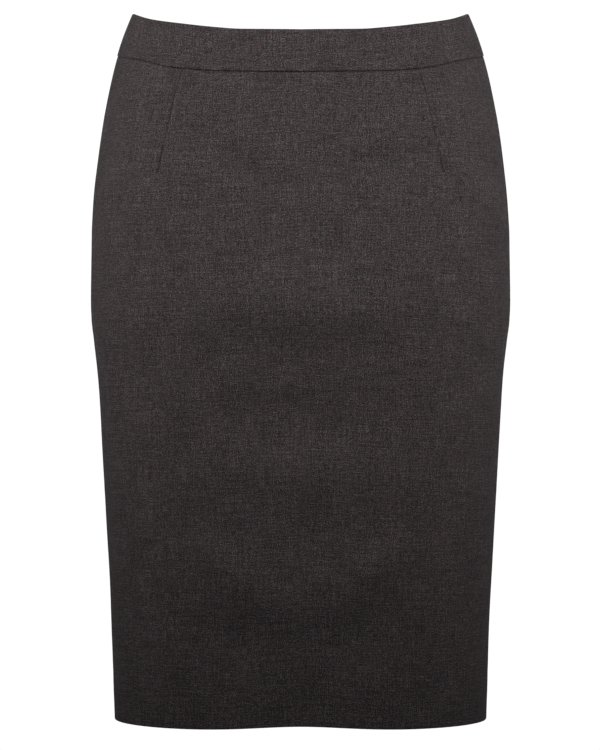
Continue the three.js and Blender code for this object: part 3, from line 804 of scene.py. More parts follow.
def panel_grid(columns, dart, rows, to_angle):
    """The turn, angle, height and depth of every point of a panel or half of one."""
    up = np.tile(panel_heights(rows, np.array([QUARTER])), (1, len(columns.share)))
    for _ in range(4):
        turn = columns.turns(dart, up)
        angle = to_angle(turn)
        up = panel_heights(rows, angle)
    inward = PLY / 2 + rows[:, 2][:, None] + np.array(columns.inward)[None, :]
    inward = inward + surface_detail(turn, up, angle, dart)
    # The turned-up hem passes over the seam allowances, a layer further in
    from_side = turn * mm_per_turn(angle, up)
    inward += LAYER * smooth_step((ALLOWANCE + 4 - from_side) / 4) * rows[:, 3][:, None]
    return turn, angle, up, inward


def dart_share(up, dart):
    return smooth_step((up - dart["tip"] - 2) / 8)


def take_up_width(up, dart):
    """Half of the cloth taken up by the dart, which is the width of the folded part inside."""
    share = np.clip((up - dart["tip"]) / (WAIST_SEAM - 20 - dart["tip"]), 0, 1)
    return dart["take_up"] / 2 * share


def surface_detail(turn_from_side, up, angle, dart):
    """How far the finished surface lies in from the plain one: darts, puckers and the hem's edge."""
    speed = mm_per_turn(angle, up)
    stitched = dart_turn(dart, up)
    beside = (turn_from_side - stitched) * speed
    from_side = turn_from_side * speed
    taken = dart_share(up, dart)
    inward = 0.68 * np.exp(-((beside / 0.6) ** 2)) * taken
    inward += 0.30 * np.exp(-((beside / 2.4) ** 2)) * taken
    # The folded take-up lies towards the middle and lifts the cloth above it a little
    width = take_up_width(up, dart)
    lifted = smooth_step(beside / 1.5) * smooth_step((width + 2 - beside) / 3.5)
    inward -= 0.22 * lifted * taken
    # The end of the dart: a dimple, and the fullness it lets go below it
    below_tip = up - dart["tip"]
    inward += 0.5 * np.exp(-((beside / 4.4) ** 2) - ((below_tip - 9) / 10) ** 2)
    inward += 1.25 * np.exp(-((beside / 1.0) ** 2) - ((below_tip - 10) / 8) ** 2)
    inward -= 0.45 * np.exp(-((beside / 13) ** 2) - ((below_tip + 16) / 16) ** 2)
    # Puckers along the side seam, the dart and the waist seam
    ripple = np.sin(up / 2.3 + 1.7 * np.sin(up / 19.0)) * np.sin(up / 7.9 + 0.6)
    inward += 0.10 * ripple * np.exp(-np.abs(from_side) / 5)
    inward += 0.07 * ripple * np.exp(-np.abs(beside) / 4) * taken
    drop = waist_seam(angle) - up
    along = turn_from_side * 160
    ripple = np.sin(along / 2.1 + 1.3 * np.sin(along / 13.0)) * np.sin(along / 9.7 + 1.1)
    inward += 0.09 * ripple * np.exp(-np.maximum(drop, 0) / 5)
    # The turned-up edge inside the hem shows as the faintest ridge
    height = up - hem(angle)
    inward -= 0.13 * smooth_step((HEM_DEPTH + 1.5 - height) / 3)
    return inward


raw_edges = []  # the paths of all raw edges, with the way out of the cloth, for their overlocking


def keep_raw_edge(middle, normals, rows, column, outside=-1):
    """Notes a raw edge that runs down one column of a grid."""
    raw_edges.append((middle[rows, column], normals[rows, column] * outside))


def dart_folds(name, dart, ways):
    """The cloth that the darts take up, folded and pressed flat inside towards the middle."""
    parts, corners = [], []
    for to_angle in ways:
        high = float(waist_seam(to_angle(dart_turn(dart, np.array(-35.0))))) - 3.5
        across = np.concatenate([np.linspace(0.02, 1, 12), [1.0, 0.93]])[None, :]
        up = np.linspace(high, dart["tip"] + 3, 46)[:, None] + np.zeros(across.shape)
        stitched = dart_turn(dart, up)
        speed = mm_per_turn(to_angle(stitched), up)
        angle = to_angle(stitched + take_up_width(up, dart) * across / speed)
        depth = 1.27 + np.concatenate([np.zeros(12), [0.35, 0.6]])[None, :]
        middle = cloth_point(angle, up, np.broadcast_to(depth, up.shape))
        uv = cloth_lengths(middle, 0, 0)
        points, faces, corner = sheet_shell(middle, grid_normals(middle), 0.7, None, uv)
        parts.append((points, faces.tolist()))
        corners.append(corner.reshape(-1, 2))
    points, faces = join_parts(parts)
    piece = new_piece(name, points, faces, material("suiting"), np.concatenate(corners))
    return settle(piece)


def sew_panel(name, node, grid, is_cloth, uv, shift):
    """Makes a panel from the middle of its cloth and its normals."""
    points, faces, corners = sheet_shell(*grid, PLY, is_cloth, uv, shift)
    piece = new_piece(name, points, faces.tolist(), material("suiting"), corners)
    settle(piece, [node])


class SKIRT_OT_front(bpy.types.Operator):
    """Make the front: one piece of cloth with two darts, turned in at its sides and up at its hem"""

    bl_idname = "skirt.front"
    bl_label = "Front"

    def execute(self, context):
        columns, rows = half_columns(27, 34), panel_rows(186)
        right = panel_grid(columns, FRONT_DART, rows, lambda turn: turn)
        left = panel_grid(columns, FRONT_DART, rows, lambda turn: math.pi - turn)
        _, angle, up, inward = (
            np.concatenate([a, b[:, -2::-1]], 1) for a, b in zip(right, left)
        )
        middle = cloth_point(angle, up, inward)
        normals = grid_normals(middle)
        count, half = middle.shape[1], len(columns.share)
        uv = cloth_lengths(middle, half - 1, FIRST_FOLD_ROW + 3)
        is_cloth = np.ones((len(rows) - 1, count - 1), bool)
        tails = [c for c in range(half) if columns.is_tail[c]]
        is_cloth[FIRST_FOLD_ROW:, tails] = False
        is_cloth[FIRST_FOLD_ROW:, [count - 2 - c for c in tails]] = False
        # Outside a dart the pattern runs on as if its take-up were still there
        taken = 2 * take_up_width(up, FRONT_DART)[:-1, :-1] * MM
        cell, dart = np.arange(count - 1)[None, :], columns.dart_column()
        shift = np.where(cell < dart, -taken, 0) + np.where(cell >= count - 1 - dart, taken, 0)
        folds = dart_folds(
            "front_dart_folds", FRONT_DART, (lambda turn: turn, lambda turn: math.pi - turn)
        )
        sew_panel(
            "front_cloth", "front_panel", (middle, normals), is_cloth, uv, shift,
        )
        above_hem = slice(8, FIRST_FOLD_ROW)
        keep_raw_edge(middle, normals, above_hem, 0)
        keep_raw_edge(middle, normals, above_hem, count - 1)
        raw_edges.append((middle[-1, 12:-12], normals[-1, 12:-12]))
        return {"FINISHED"}


def vent_row(up):
    """The first row of the vent, going down."""
    return int(np.argmax(up[:, -1] < VENT_TOP))


def underlap_sink(from_middle, up):
    """How far the under layer of the vent lies in below the layer that laps over it."""
    over = 2.6 + (1.4 - 2.6) * smooth_step((up - HEM - HEM_DEPTH - 5) / 25)
    across = smooth_step(1 - from_middle / 25)
    down = smooth_step((VENT_TOP + 25 - up) / 25)
    return (over + 0.4) * across * down


class SKIRT_OT_backs(bpy.types.Operator):
    """Make the two backs, each with a dart, open below the vent's top where one laps over the other"""

    bl_idname = "skirt.backs"
    bl_label = "Backs"

    def execute(self, context):
        self.make_right()
        self.make_left()
        return {"FINISHED"}

    def finish_back(self, name, side, to_angle, columns, grid, is_cloth, split, hidden):
        _, angle, up, inward = grid
        middle = cloth_point(angle, up, inward)
        normals = np.concatenate([grid_normals(middle[:split]), grid_normals(middle[split:])])
        edge = len(columns.share) - 8  # the column on the turn of the middle edge
        uv = cloth_lengths(middle, edge, FIRST_FOLD_ROW + 3, side * 1.3)
        is_cloth[FIRST_FOLD_ROW:, hidden] = False
        taken = 2 * take_up_width(up, BACK_DART)[:-1, :-1] * MM
        cell = np.arange(len(columns.share) - 1)[None, :]
        shift = np.where(cell < columns.dart_column(), -taken, 0)
        folds = dart_folds("back_dart_fold_" + name, BACK_DART, (to_angle,))
        sew_panel(
            "back_cloth_" + name, "back_panel_" + name, (middle, normals), is_cloth, uv, shift,
        )
        outside = 1 if side > 0 else -1
        above_hem = slice(8, FIRST_FOLD_ROW)
        keep_raw_edge(middle, normals, above_hem, 0, outside)
        return middle, normals, outside

    def make_right(self):
        rows = panel_rows(186)
        narrow = half_columns(27, 27, turned_edge(15))
        wide = half_columns(27, 27, turned_edge(UNDERLAP))

        def to_angle(turn):
            return -turn

        above = panel_grid(narrow, BACK_DART, rows, to_angle)
        below = panel_grid(wide, BACK_DART, rows, to_angle)
        share = smooth_step((VENT_TOP + 12 - above[2]) / 16)
        grid = [a * (1 - share) + b * share for a, b in zip(above, below)]
        tails = np.array(narrow.is_tail)
        facing = tails & (np.arange(len(tails)) > len(tails) // 2)
        # The vent's facing lies over the turned-up hem
        over_hem = smooth_step((HEM + HEM_DEPTH + 5 - grid[2]) / 5)
        grid[3] = grid[3] + LAYER * over_hem * facing[None, :]
        is_cloth = np.ones((len(rows) - 1, len(tails) - 1), bool)
        hidden = [c if c < len(tails) // 2 else c - 1 for c in np.flatnonzero(tails)]
        split = len(rows) - 2
        middle, normals, outside = self.finish_back(
            "right", 1, to_angle, narrow, grid, is_cloth, split, hidden
        )
        keep_raw_edge(middle, normals, slice(8, FIRST_FOLD_ROW), -1, outside)
        raw_edges.append((middle[-1, 12:-12], normals[-1, 12:-12]))

    def make_left(self):
        rows = panel_rows(186)
        turned = half_columns(27, 27, turned_edge(15))
        flat = half_columns(27, 27, flat_edge(UNDERLAP))

        def to_angle(turn):
            return math.pi + turn

        above = panel_grid(turned, BACK_DART, rows, to_angle)
        below = panel_grid(flat, BACK_DART, rows, to_angle)
        start = vent_row(above[2])
        grid = [np.concatenate([a[:start], b[start:]]) for a, b in zip(above, below)]
        turn, angle, up, inward = grid
        from_middle = (QUARTER - turn) * mm_per_turn(angle, up)
        grid[3] = inward + underlap_sink(from_middle, up)
        tails = np.array(turned.is_tail)
        is_cloth = np.ones((len(rows) - 1, len(tails) - 1), bool)
        is_cloth[start - 1, len(tails) - 5 :] = False
        hidden = [c for c in np.flatnonzero(tails) if c < len(tails) // 2]
        middle, normals, outside = self.finish_back(
            "left", -1, to_angle, turned, grid, is_cloth, start, hidden
        )
        keep_raw_edge(middle, normals, slice(8, start), -1, outside)
        keep_raw_edge(middle, normals, slice(start, FIRST_FOLD_ROW + 3), -1, outside)
        raw_edges.append((middle[-1, 12:], normals[-1, 12:]))


# The waistband

BAND_OUT = -0.2  # depth of the middle of the band's outer layer
BAND_IN = 1.35
FACING_DROP = 4.0


def centre_back_gap(up):
    """Half of the opening at the centre back, wider at the top, where the slider's neck comes out."""
    return 0.15 + (1.3 - 0.15) * smooth_step((up - 0.1 + 10) / 10)


def band_rows():
    """The band's profile from the facing's lower edge, over the top fold and down to its turned edge:
    share of the way up from the seam to the top, offset and depth."""
    rows = [(0, -FACING_DROP, BAND_IN), (0, -2, BAND_IN), (0, 1, BAND_IN)]
    rows += [(n / 7, 0, BAND_IN) for n in range(1, 7)]
    rows += [(1, -4, BAND_IN), (1, -2.2, BAND_IN)]
    radius = (BAND_IN - BAND_OUT) / 2
    for sine, cosine in half_circle(8):
        rows.append((1, -PLY / 2 - radius * (1 - sine), (BAND_IN + BAND_OUT) / 2 + radius * cosine))
    rows += [(1, -2.2, BAND_OUT), (1, -4, BAND_OUT)]
    rows += [(n / 14, 0, BAND_OUT) for n in range(12, 1, -1)]
    rows += [(0, 3, BAND_OUT), (0, 2, BAND_OUT), (0, 1.35, BAND_OUT)]
    for sine, cosine in half_circle(6):
        rows.append((0, 0.05 + PLY / 2 + TURN * (1 - sine), BAND_OUT + TURN * (1 - cosine)))
    rows += [(0, 2, BAND_OUT + LAYER), (0, 7, BAND_OUT + LAYER)]
    return np.array(rows, float)


BAND_EDGE = (0.0, 0.12, 0.3, 0.6, 1.0, 1.6, 2.6)


def band_piece(name, node, turn_at, to_angle, ends, cut_from):
    """A stretch of band. turn_at gives the turn of every column from the heights, and ends has its
    distance from the nearest end."""
    rows = band_rows()
    count = len(ends)
    share, offset = rows[:, 0][:, None], rows[:, 1][:, None]
    up = np.zeros((len(rows), count))
    for _ in range(4):
        turn = turn_at(up)
        angle = to_angle(turn)
        up = waist_seam(angle) * (1 - share) + band_top(angle) * share + offset
    inward = np.tile(rows[:, 2][:, None], (1, count))
    # The two layers are stitched together at each end
    closing = smooth_step((1.3 - ends) / 1.3)[None, :]
    inward = inward + ((BAND_IN + BAND_OUT) / 2 - inward) * 0.8 * closing
    above_seam = up - waist_seam(angle)
    full = np.sin(np.clip(above_seam / 36, 0, 1) * math.pi)
    is_outer = (rows[:, 2] < 0.5)[:, None]
    inward = inward - np.where(is_outer, 0.25 * full, 0.0)
    along = np.abs(turn) * 150
    ripple = np.sin(along / 2.3 + 1.4 * np.sin(along / 11.0)) * np.sin(along / 8.3 + 0.4)
    inward = inward + 0.08 * ripple * np.exp(-np.abs(above_seam) / 4)
    middle = cloth_point(angle, up, inward)
    normals = grid_normals(middle)
    uv = cloth_lengths(middle, count // 2, 0, cut_from)
    points, faces, corners = sheet_shell(middle, normals, PLY, None, uv)
    piece = new_piece(name, points, faces.tolist(), material("suiting"), corners)
    settle(piece, [node])
    raw_edges.append((middle[0, 3:-3], -normals[0, 3:-3]))


class SKIRT_OT_waistband(bpy.types.Operator):
    """Make the shaped waistband: a front and two backs, each folded over at the top"""

    bl_idname = "skirt.waistband"
    bl_label = "Waistband"

    def execute(self, context):
        self.make_front()
        self.make_back("right", lambda turn: -turn, 1.9)
        self.make_back("left", lambda turn: math.pi + turn, 2.6)
        return {"FINISHED"}

    def make_front(self):
        near, inner = np.array(BAND_EDGE), np.arange(1, 74) / 73

        def turn_at(up):
            speed = mm_per_turn(np.zeros((len(up), 1)), up[:, :1])
            first = (near[None, :] + SEAM_OPEN) / speed
            rest = first[:, -1:] + (QUARTER - first[:, -1:]) * inner[None, :]
            half = np.concatenate([first, rest], 1)
            return np.concatenate([half, math.pi - half[:, -2::-1]], 1)

        ends = np.concatenate([near, np.full(2 * len(inner) - 1, 9.0), near[::-1]])
        band_piece(
            "waistband_cloth_front", "waistband_front", turn_at, lambda turn: turn, ends,
            0.7,
        )

    def make_back(self, side, to_angle, cut_from):
        near, inner = np.array(BAND_EDGE), np.arange(1, 70) / 70

        def turn_at(up):
            gap = centre_back_gap(up[:, :1])
            side_speed = mm_per_turn(np.zeros((len(up), 1)), up[:, :1])
            back_speed = mm_per_turn(np.full((len(up), 1), BACK), up[:, -1:])
            first = (near[None, :] + SEAM_OPEN) / side_speed
            last = QUARTER - (near[::-1][None, :] + gap) / back_speed
            rest = first[:, -1:] + (last[:, :1] - first[:, -1:]) * inner[None, :]
            return np.concatenate([first, rest, last], 1)

        ends = np.concatenate([near, np.full(len(inner), 9.0), near[::-1]])
        band_piece(
            "waistband_cloth_" + side, "waistband_back_" + side, turn_at, to_angle, ends,
            cut_from,
        )


# Stitching


def capsules(starts, ends, outs, radius, sink, sides=6, rings=5):
    """Short threads from start to end, arched outwards and sunk at both ends."""
    share = np.linspace(0, 1, rings)
    path = starts[:, None] + (ends - starts)[:, None] * share[None, :, None]
    arch = (1 - (2 * share - 1) ** 2)[None, :, None]
    path = path + outs[:, None] * sink * (arch - 1)
    ahead = unit(ends - starts)
    side = unit(np.cross(ahead, outs))
    width = radius * np.array([0.55] + [1.0] * (rings - 2) + [0.55])
    angle = np.arange(sides) * 2 * math.pi / sides
    across = side[:, None, None] * np.cos(angle)[None, None, :, None]
    across = across + outs[:, None, None] * np.sin(angle)[None, None, :, None]
    points = path[:, :, None] + across * width[None, :, None, None]
    ring = np.arange(rings * sides).reshape(rings, sides)
    turned = np.roll(ring, -1, axis=1)
    quads = np.stack([ring[:-1], turned[:-1], turned[1:], ring[1:]], -1).reshape(-1, 4)
    faces = [tuple(int(i) for i in q) for q in quads]
    faces += [tuple(int(i) for i in ring[0][::-1]), tuple(int(i) for i in ring[-1])]
    size = rings * sides
    every = [tuple(i + n * size for i in face) for n in range(len(starts)) for face in faces]
    return points.reshape(-1, 3), every


def stitch_line(path, outs, pitch, length, radius, sink):
    """Stitches of one length along a path of points, each arched out of the cloth."""
    steps = np.linalg.norm(np.diff(path, axis=0), axis=1)
    along = np.concatenate([[0], np.cumsum(steps)])
    count = int((along[-1] - length) // pitch) + 1
    starts = (along[-1] - (count - 1) * pitch - length) / 2 + np.arange(count) * pitch

    def at(distance, table):
        return np.stack([np.interp(distance, along, table[:, n]) for n in range(3)], -1)

    out = unit(at(starts + length / 2, outs))
    return capsules(at(starts, path), at(starts + length, path), out, radius, sink)


# The waist seam's stitching in turns: across the front, the left back and the right back
SEAM_STRETCHES = (
    (0.01, math.pi - 0.01),
    (math.pi + 0.01, BACK - 0.012),
    (-QUARTER + 0.012, -0.01),
)


class SKIRT_OT_stitching(bpy.types.Operator):
    """Make the stitches that show: along the waist seam and across the top of the vent"""

    bl_idname = "skirt.stitching"
    bl_label = "Stitching"

    def execute(self, context):
        trim = context.scene.skirt_look.trim
        length, pitch = trim.stitch_length / MM, (trim.stitch_length + trim.stitch_gap) / MM
        parts = []
        for first, last in SEAM_STRETCHES:
            angle = np.linspace(first, last, 900)
            up = waist_seam(angle) - 0.85
            path = cloth_point(angle, up, np.full(angle.shape, 0.12))
            parts.append(stitch_line(path, outward(angle, up), pitch, length, 0.27, 0.5))
        up = VENT_TOP - 2 - np.linspace(0, 17, 60)
        turn = QUARTER - np.linspace(2.5, UNDERLAP - 2, 60) / mm_per_turn(np.array(BACK), up)
        path = cloth_point(-turn, up, np.full(turn.shape, 0.05))
        parts.append(stitch_line(path, outward(-turn, up), pitch, length, 0.2, 0.4))
        points, faces = join_parts(parts)
        piece = new_piece("stitching", points, faces, material("thread"))
        settle(piece)
        return {"FINISHED"}


class SKIRT_OT_overlocking(bpy.types.Operator):
    """Make the thread wrapped round the raw edges inside"""

    bl_idname = "skirt.overlocking"
    bl_label = "Overlocked Edges"

    def execute(self, context):
        if not raw_edges:
            raise RuntimeError("The panels and the band come first: their raw edges are overlocked.")
        parts = []
        for path, outs in raw_edges:
            steps = np.linalg.norm(np.diff(path, axis=0), axis=1)
            along = np.concatenate([[0], np.cumsum(steps)])
            places = np.arange(0, along[-1], 0.62)
            spine = np.stack([np.interp(places, along, path[:, n]) for n in range(3)], -1)
            out = np.stack([np.interp(places, along, outs[:, n]) for n in range(3)], -1)
            radii = 0.78 * (1 + 0.2 * np.cos(places * 2 * math.pi / 2.48))
            parts.append(tube(spine, radii, 6, 0.78, unit(out)))
        points, faces = join_parts(parts)
        piece = new_piece("overlocking", points, faces, material("overlock"))
        face_out(piece)
        settle(piece)
        return {"FINISHED"}


# The zip


class SKIRT_OT_zip(bpy.types.Operator):
    """Make the concealed zip inside the centre back: two tapes and the closed coil"""

    bl_idname = "skirt.zip"
    bl_label = "Zip"

    def execute(self, context):
        self.make_tape("right", 1)
        self.make_tape("left", -1)
        self.make_coil()
        return {"FINISHED"}

    def make_tape(self, name, side):
        up = np.linspace(ZIP_TOP, ZIP_TOP - ZIP_LENGTH, 96)[:, None]
        across = np.array([0.1, 0.5, 1.2, 2.2, 3.5, 5, 6.5, 8, 9.5, 11, 11.7, 12])[None, :]
        gap = centre_back_gap(up)
        speed = mm_per_turn(np.full(up.shape, BACK), up)
        angle = BACK + side * (gap + across) / speed
        depth = np.where(across > 11.5, 2.5, 2.42) + 0.1 * np.sin(across * 2.1) * np.exp(-across / 3)
        up = np.broadcast_to(up, angle.shape)
        middle = cloth_point(angle, up, np.broadcast_to(depth, angle.shape))
        uv = cloth_lengths(middle, 0, 0)
        points, faces, corners = sheet_shell(middle, grid_normals(middle), 0.55, None, uv)
        piece = new_piece("tape_" + name, points, faces.tolist(), material("tape"), corners)
        settle(piece, ["zip_tape_" + name])

    def make_coil(self):
        pitch, top, bottom = 1.5, SLIDER_UP - 5.2, ZIP_TOP - ZIP_LENGTH + 3
        count = int((top - bottom) / pitch)
        parts = []
        for side in (1, -1):
            turns = np.arange(count * 8 + 1) / 8 + (0.5 if side < 0 else 0)
            up = top - turns * pitch
            swing = turns * 2 * math.pi
            across = side * (0.72 + 1.02 * np.cos(swing))
            depth = 3.98 + 0.62 * np.sin(swing)
            speed = mm_per_turn(np.full(up.shape, BACK), up)
            path = cloth_point(BACK + across / speed, up, depth)
            parts.append(tube(path, 0.29, 5))
        # The thread wrapped across the bottom end
        up = np.full(14, bottom - 1.0)
        across = np.linspace(-3.2, 3.2, 14) / mm_per_turn(np.full(14, BACK), up)
        bar = cloth_point(BACK + across, up, np.full(14, 3.3))
        wraps = 0.75 * (1 + 0.15 * np.cos(np.arange(14) * 2.2))
        parts.append(tube(bar, wraps, 8))
        points, faces = join_parts(parts)
        piece = new_piece("coil", points, faces, material("coil"))
        face_out(piece)
        settle(piece, ["zip_chain"])


def slider_frame():
    """Where the slider sits: x across, y out of the cloth and z up along it."""
    heights = np.array([SLIDER_UP, SLIDER_UP - 24.0])
    upper, lower = cad_point(np.full(2, BACK), heights)
    lean = math.atan2(lower[1] - upper[1], upper[2] - lower[2])
    return Matrix.Translation(Vector(upper * MM)) @ Matrix.Rotation(lean, 4, "X")


def cad_point(angle, up):
    """A point of the plain surface, with its large folds only."""
    folds = fold_rise(oval(angle, up)[..., 0], up, BACK_FOLDS) * np.abs(np.sin(angle))
    return oval(angle, up) + outward(angle, up) * folds[..., None]


def start_edit(name):
    piece = bpy.context.active_object
    piece.name = name
    piece.data.name = name
    bpy.ops.object.mode_set(mode="EDIT")
    bpy.ops.mesh.select_all(action="DESELECT")


def select_parts(kind, test):
    """Selects the vertices, edges or faces whose middle, in millimetres, passes the test."""
    bpy.ops.mesh.select_mode(type=kind)
    bpy.ops.mesh.select_all(action="DESELECT")
    work = bmesh.from_edit_mesh(bpy.context.active_object.data)
    for part in {"VERT": work.verts, "EDGE": work.edges, "FACE": work.faces}[kind]:
        corners = [part.co] if kind == "VERT" else [v.co for v in part.verts]
        centre = sum(corners, Vector()) / len(corners) / MM
        part.select_set(test(centre, part))
    bmesh.update_edit_mesh(bpy.context.active_object.data)


def end_edit():
    bpy.ops.mesh.select_all(action="SELECT")
    bpy.ops.mesh.normals_make_consistent(inside=False)
    bpy.ops.object.mode_set(mode="OBJECT")


def soften(piece, width, segments=2):
    """Rounds the sharp edges and shades the rest smooth."""
    bevel = piece.modifiers.new("Rounded edges", "BEVEL")
    bevel.width, bevel.segments, bevel.limit_method = width * MM, segments, "ANGLE"
    bevel.angle_limit = math.radians(28)
    bpy.ops.object.modifier_apply(modifier=bevel.name)
    bpy.ops.object.shade_smooth_by_angle(angle=math.radians(35))


def place_hard_piece(piece, kind, node, body):
    piece.data.transform(slider_frame())
    piece.data.materials.clear()
    piece.data.materials.append(material(kind))
    settle(piece, [node], body)


def cube(middle, size):
    """A box of the given middle and size in millimetres, left selected and active."""
    bpy.ops.object.select_all(action="DESELECT")
    bpy.ops.mesh.primitive_cube_add(size=MM, location=(0, 0, 0))
    piece = bpy.context.active_object
    piece.data.transform(Matrix.Diagonal((*size, 1)))
    piece.data.transform(Matrix.Translation(Vector(middle) * MM))
    return piece


class SKIRT_OT_slider(bpy.types.Operator):
    """Make the zip's slider: a wedge-shaped body inside and a neck with an eye outside"""

    bl_idname = "skirt.slider"
    bl_label = "Slider"

    def execute(self, context):
        neck = self.make_neck()
        body = self.make_body()
        neck.select_set(True)
        body.select_set(True)
        context.view_layer.objects.active = body
        bpy.ops.object.join()
        place_hard_piece(body, "enamel", "zip_slider", "skirt")
        return {"FINISHED"}

    def make_body(self):
        body = cube((0, -4.5, 0), (7.6, 2.6, 9.0))
        start_edit("slider")
        # The body narrows downwards and has a channel for the coil along its inner face
        select_parts("VERT", lambda at, part: at.z < 0)
        bpy.ops.transform.resize(value=(0.74, 1, 1), center_override=(0, -0.0045, 0))
        bpy.ops.mesh.select_all(action="SELECT")
        bpy.ops.mesh.subdivide(number_cuts=3)
        select_parts("FACE", lambda at, part: at.y < -5.7 and abs(at.x) < 2.2)
        bpy.ops.mesh.inset(thickness=0.0006, depth=-0.0005)
        select_parts("FACE", lambda at, part: at.z > 4.4 and abs(at.x) > 1.9)
        bpy.ops.transform.translate(value=(0, 0, -0.0008))
        end_edit()
        soften(body, 0.35, 3)
        return body

    def make_neck(self):
        neck = cube((0, 0.05, 0), (1.5, 8.5, 6.0))
        start_edit("slider_neck")
        for place, way in (((0, 0.0011, 0), (0, 1, 0)), ((0, 0.0031, 0), (0, 1, 0))):
            bpy.ops.mesh.select_all(action="SELECT")
            bpy.ops.mesh.bisect(plane_co=place, plane_no=way)
        for height in (-0.002, 0.002):
            bpy.ops.mesh.select_all(action="SELECT")
            bpy.ops.mesh.bisect(plane_co=(0, 0, height), plane_no=(0, 0, 1))
        select_parts(
            "FACE", lambda at, part: abs(part.normal.x) > 0.9 and 1.1 < at.y < 3.1 and abs(at.z) < 2
        )
        bpy.ops.mesh.bridge_edge_loops()
        select_parts(
            "EDGE",
            lambda at, part: abs(at.x) < 0.1
            and (abs(abs(at.z) - 2) < 0.01 and (abs(at.y - 1.1) < 0.01 or abs(at.y - 3.1) < 0.01)),
        )
        bpy.ops.mesh.bevel(offset=0.0009, segments=5, affect="EDGES")
        select_parts(
            "EDGE", lambda at, part: abs(at.x) < 0.1 and abs(abs(at.z) - 3) < 0.01 and at.y > 4.2
        )
        bpy.ops.mesh.bevel(offset=0.0012, segments=6, affect="EDGES")
        end_edit()
        soften(neck, 0.16, 2)
        return neck


class SKIRT_OT_pull(bpy.types.Operator):
    """Make the zip's pull: a bar through the slider's eye, two arms and a tab with a raised rim"""

    bl_idname = "skirt.pull"
    bl_label = "Pull"

    def execute(self, context):
        eye_out, eye_down = 2.1, -1.0
        pull = cube((0, eye_out, eye_down - 11.725), (4.7, 1.1, 24.55))
        start_edit("pull")
        low = eye_down - 24.0
        for height in (eye_down - 0.55, eye_down - 5.2, eye_down - 6.2, low + 8, low + 2.7):
            bpy.ops.mesh.select_all(action="SELECT")
            bpy.ops.mesh.bisect(plane_co=(0, 0, height * MM), plane_no=(0, 0, 1))
        for across in (-1.35, 1.35):
            bpy.ops.mesh.select_all(action="SELECT")
            bpy.ops.mesh.bisect(plane_co=(across * MM, 0, 0), plane_no=(1, 0, 0))
        select_parts(
            "FACE",
            lambda at, part: abs(part.normal.y) > 0.9
            and abs(at.x) < 1.3
            and eye_down - 5.2 < at.z < eye_down - 0.55,
        )
        bpy.ops.mesh.bridge_edge_loops()
        # The tab widens towards its round end
        select_parts("VERT", lambda at, part: at.z < low + 8.5)
        bpy.ops.transform.resize(value=(1.15, 1, 1), center_override=(0, 0, 0))
        select_parts(
            "EDGE",
            lambda at, part: abs(abs(at.x) - 2.7) < 0.01 and at.z < low + 0.01,
        )
        bpy.ops.mesh.bevel(offset=0.0026, segments=8, affect="EDGES")
        select_parts(
            "FACE", lambda at, part: abs(part.normal.y) > 0.9 and at.z < eye_down - 6.3
        )
        bpy.ops.mesh.inset(thickness=0.00055, depth=0)
        bpy.ops.transform.resize(value=(1, 0.62, 1), center_override=(0, eye_out * MM, 0))
        end_edit()
        soften(pull, 0.14, 2)
        place_hard_piece(pull, "enamel", "zip_pull", "zip_pull")
        return {"FINISHED"}


# The studio


# Each pair of lights: place, what it points at, width, height, spread in degrees and power. There is
# one of each on either side.
STUDIO_LIGHTS = {
    "key": ((0.7, -1.3, 0.55), (0.1, 0.0, -0.056), 0.5, 0.4, 45, 0.7),
    "side": ((1.2, -0.5, 0.3), (0.15, 0.0, -0.15), 0.4, 0.6, 50, 0.85),
    "back": ((0.22, 1.5, 0.45), (0.0, 0.0, -0.12), 0.5, 0.4, 55, 1.35),
}


def area_light(name, place, target, size, size_y, spread, power):
    data = bpy.data.lights.new(name, "AREA")
    data.shape = "RECTANGLE"
    data.size, data.size_y = size, size_y
    data.spread = math.radians(spread)
    data.energy = power
    light = bpy.data.objects.new(name, data)
    light.visible_camera = False
    light.location = place
    light.rotation_mode = "QUATERNION"
    light.rotation_quaternion = (Vector(target) - Vector(place)).to_track_quat("-Z", "Y")
    bpy.context.collection.objects.link(light)


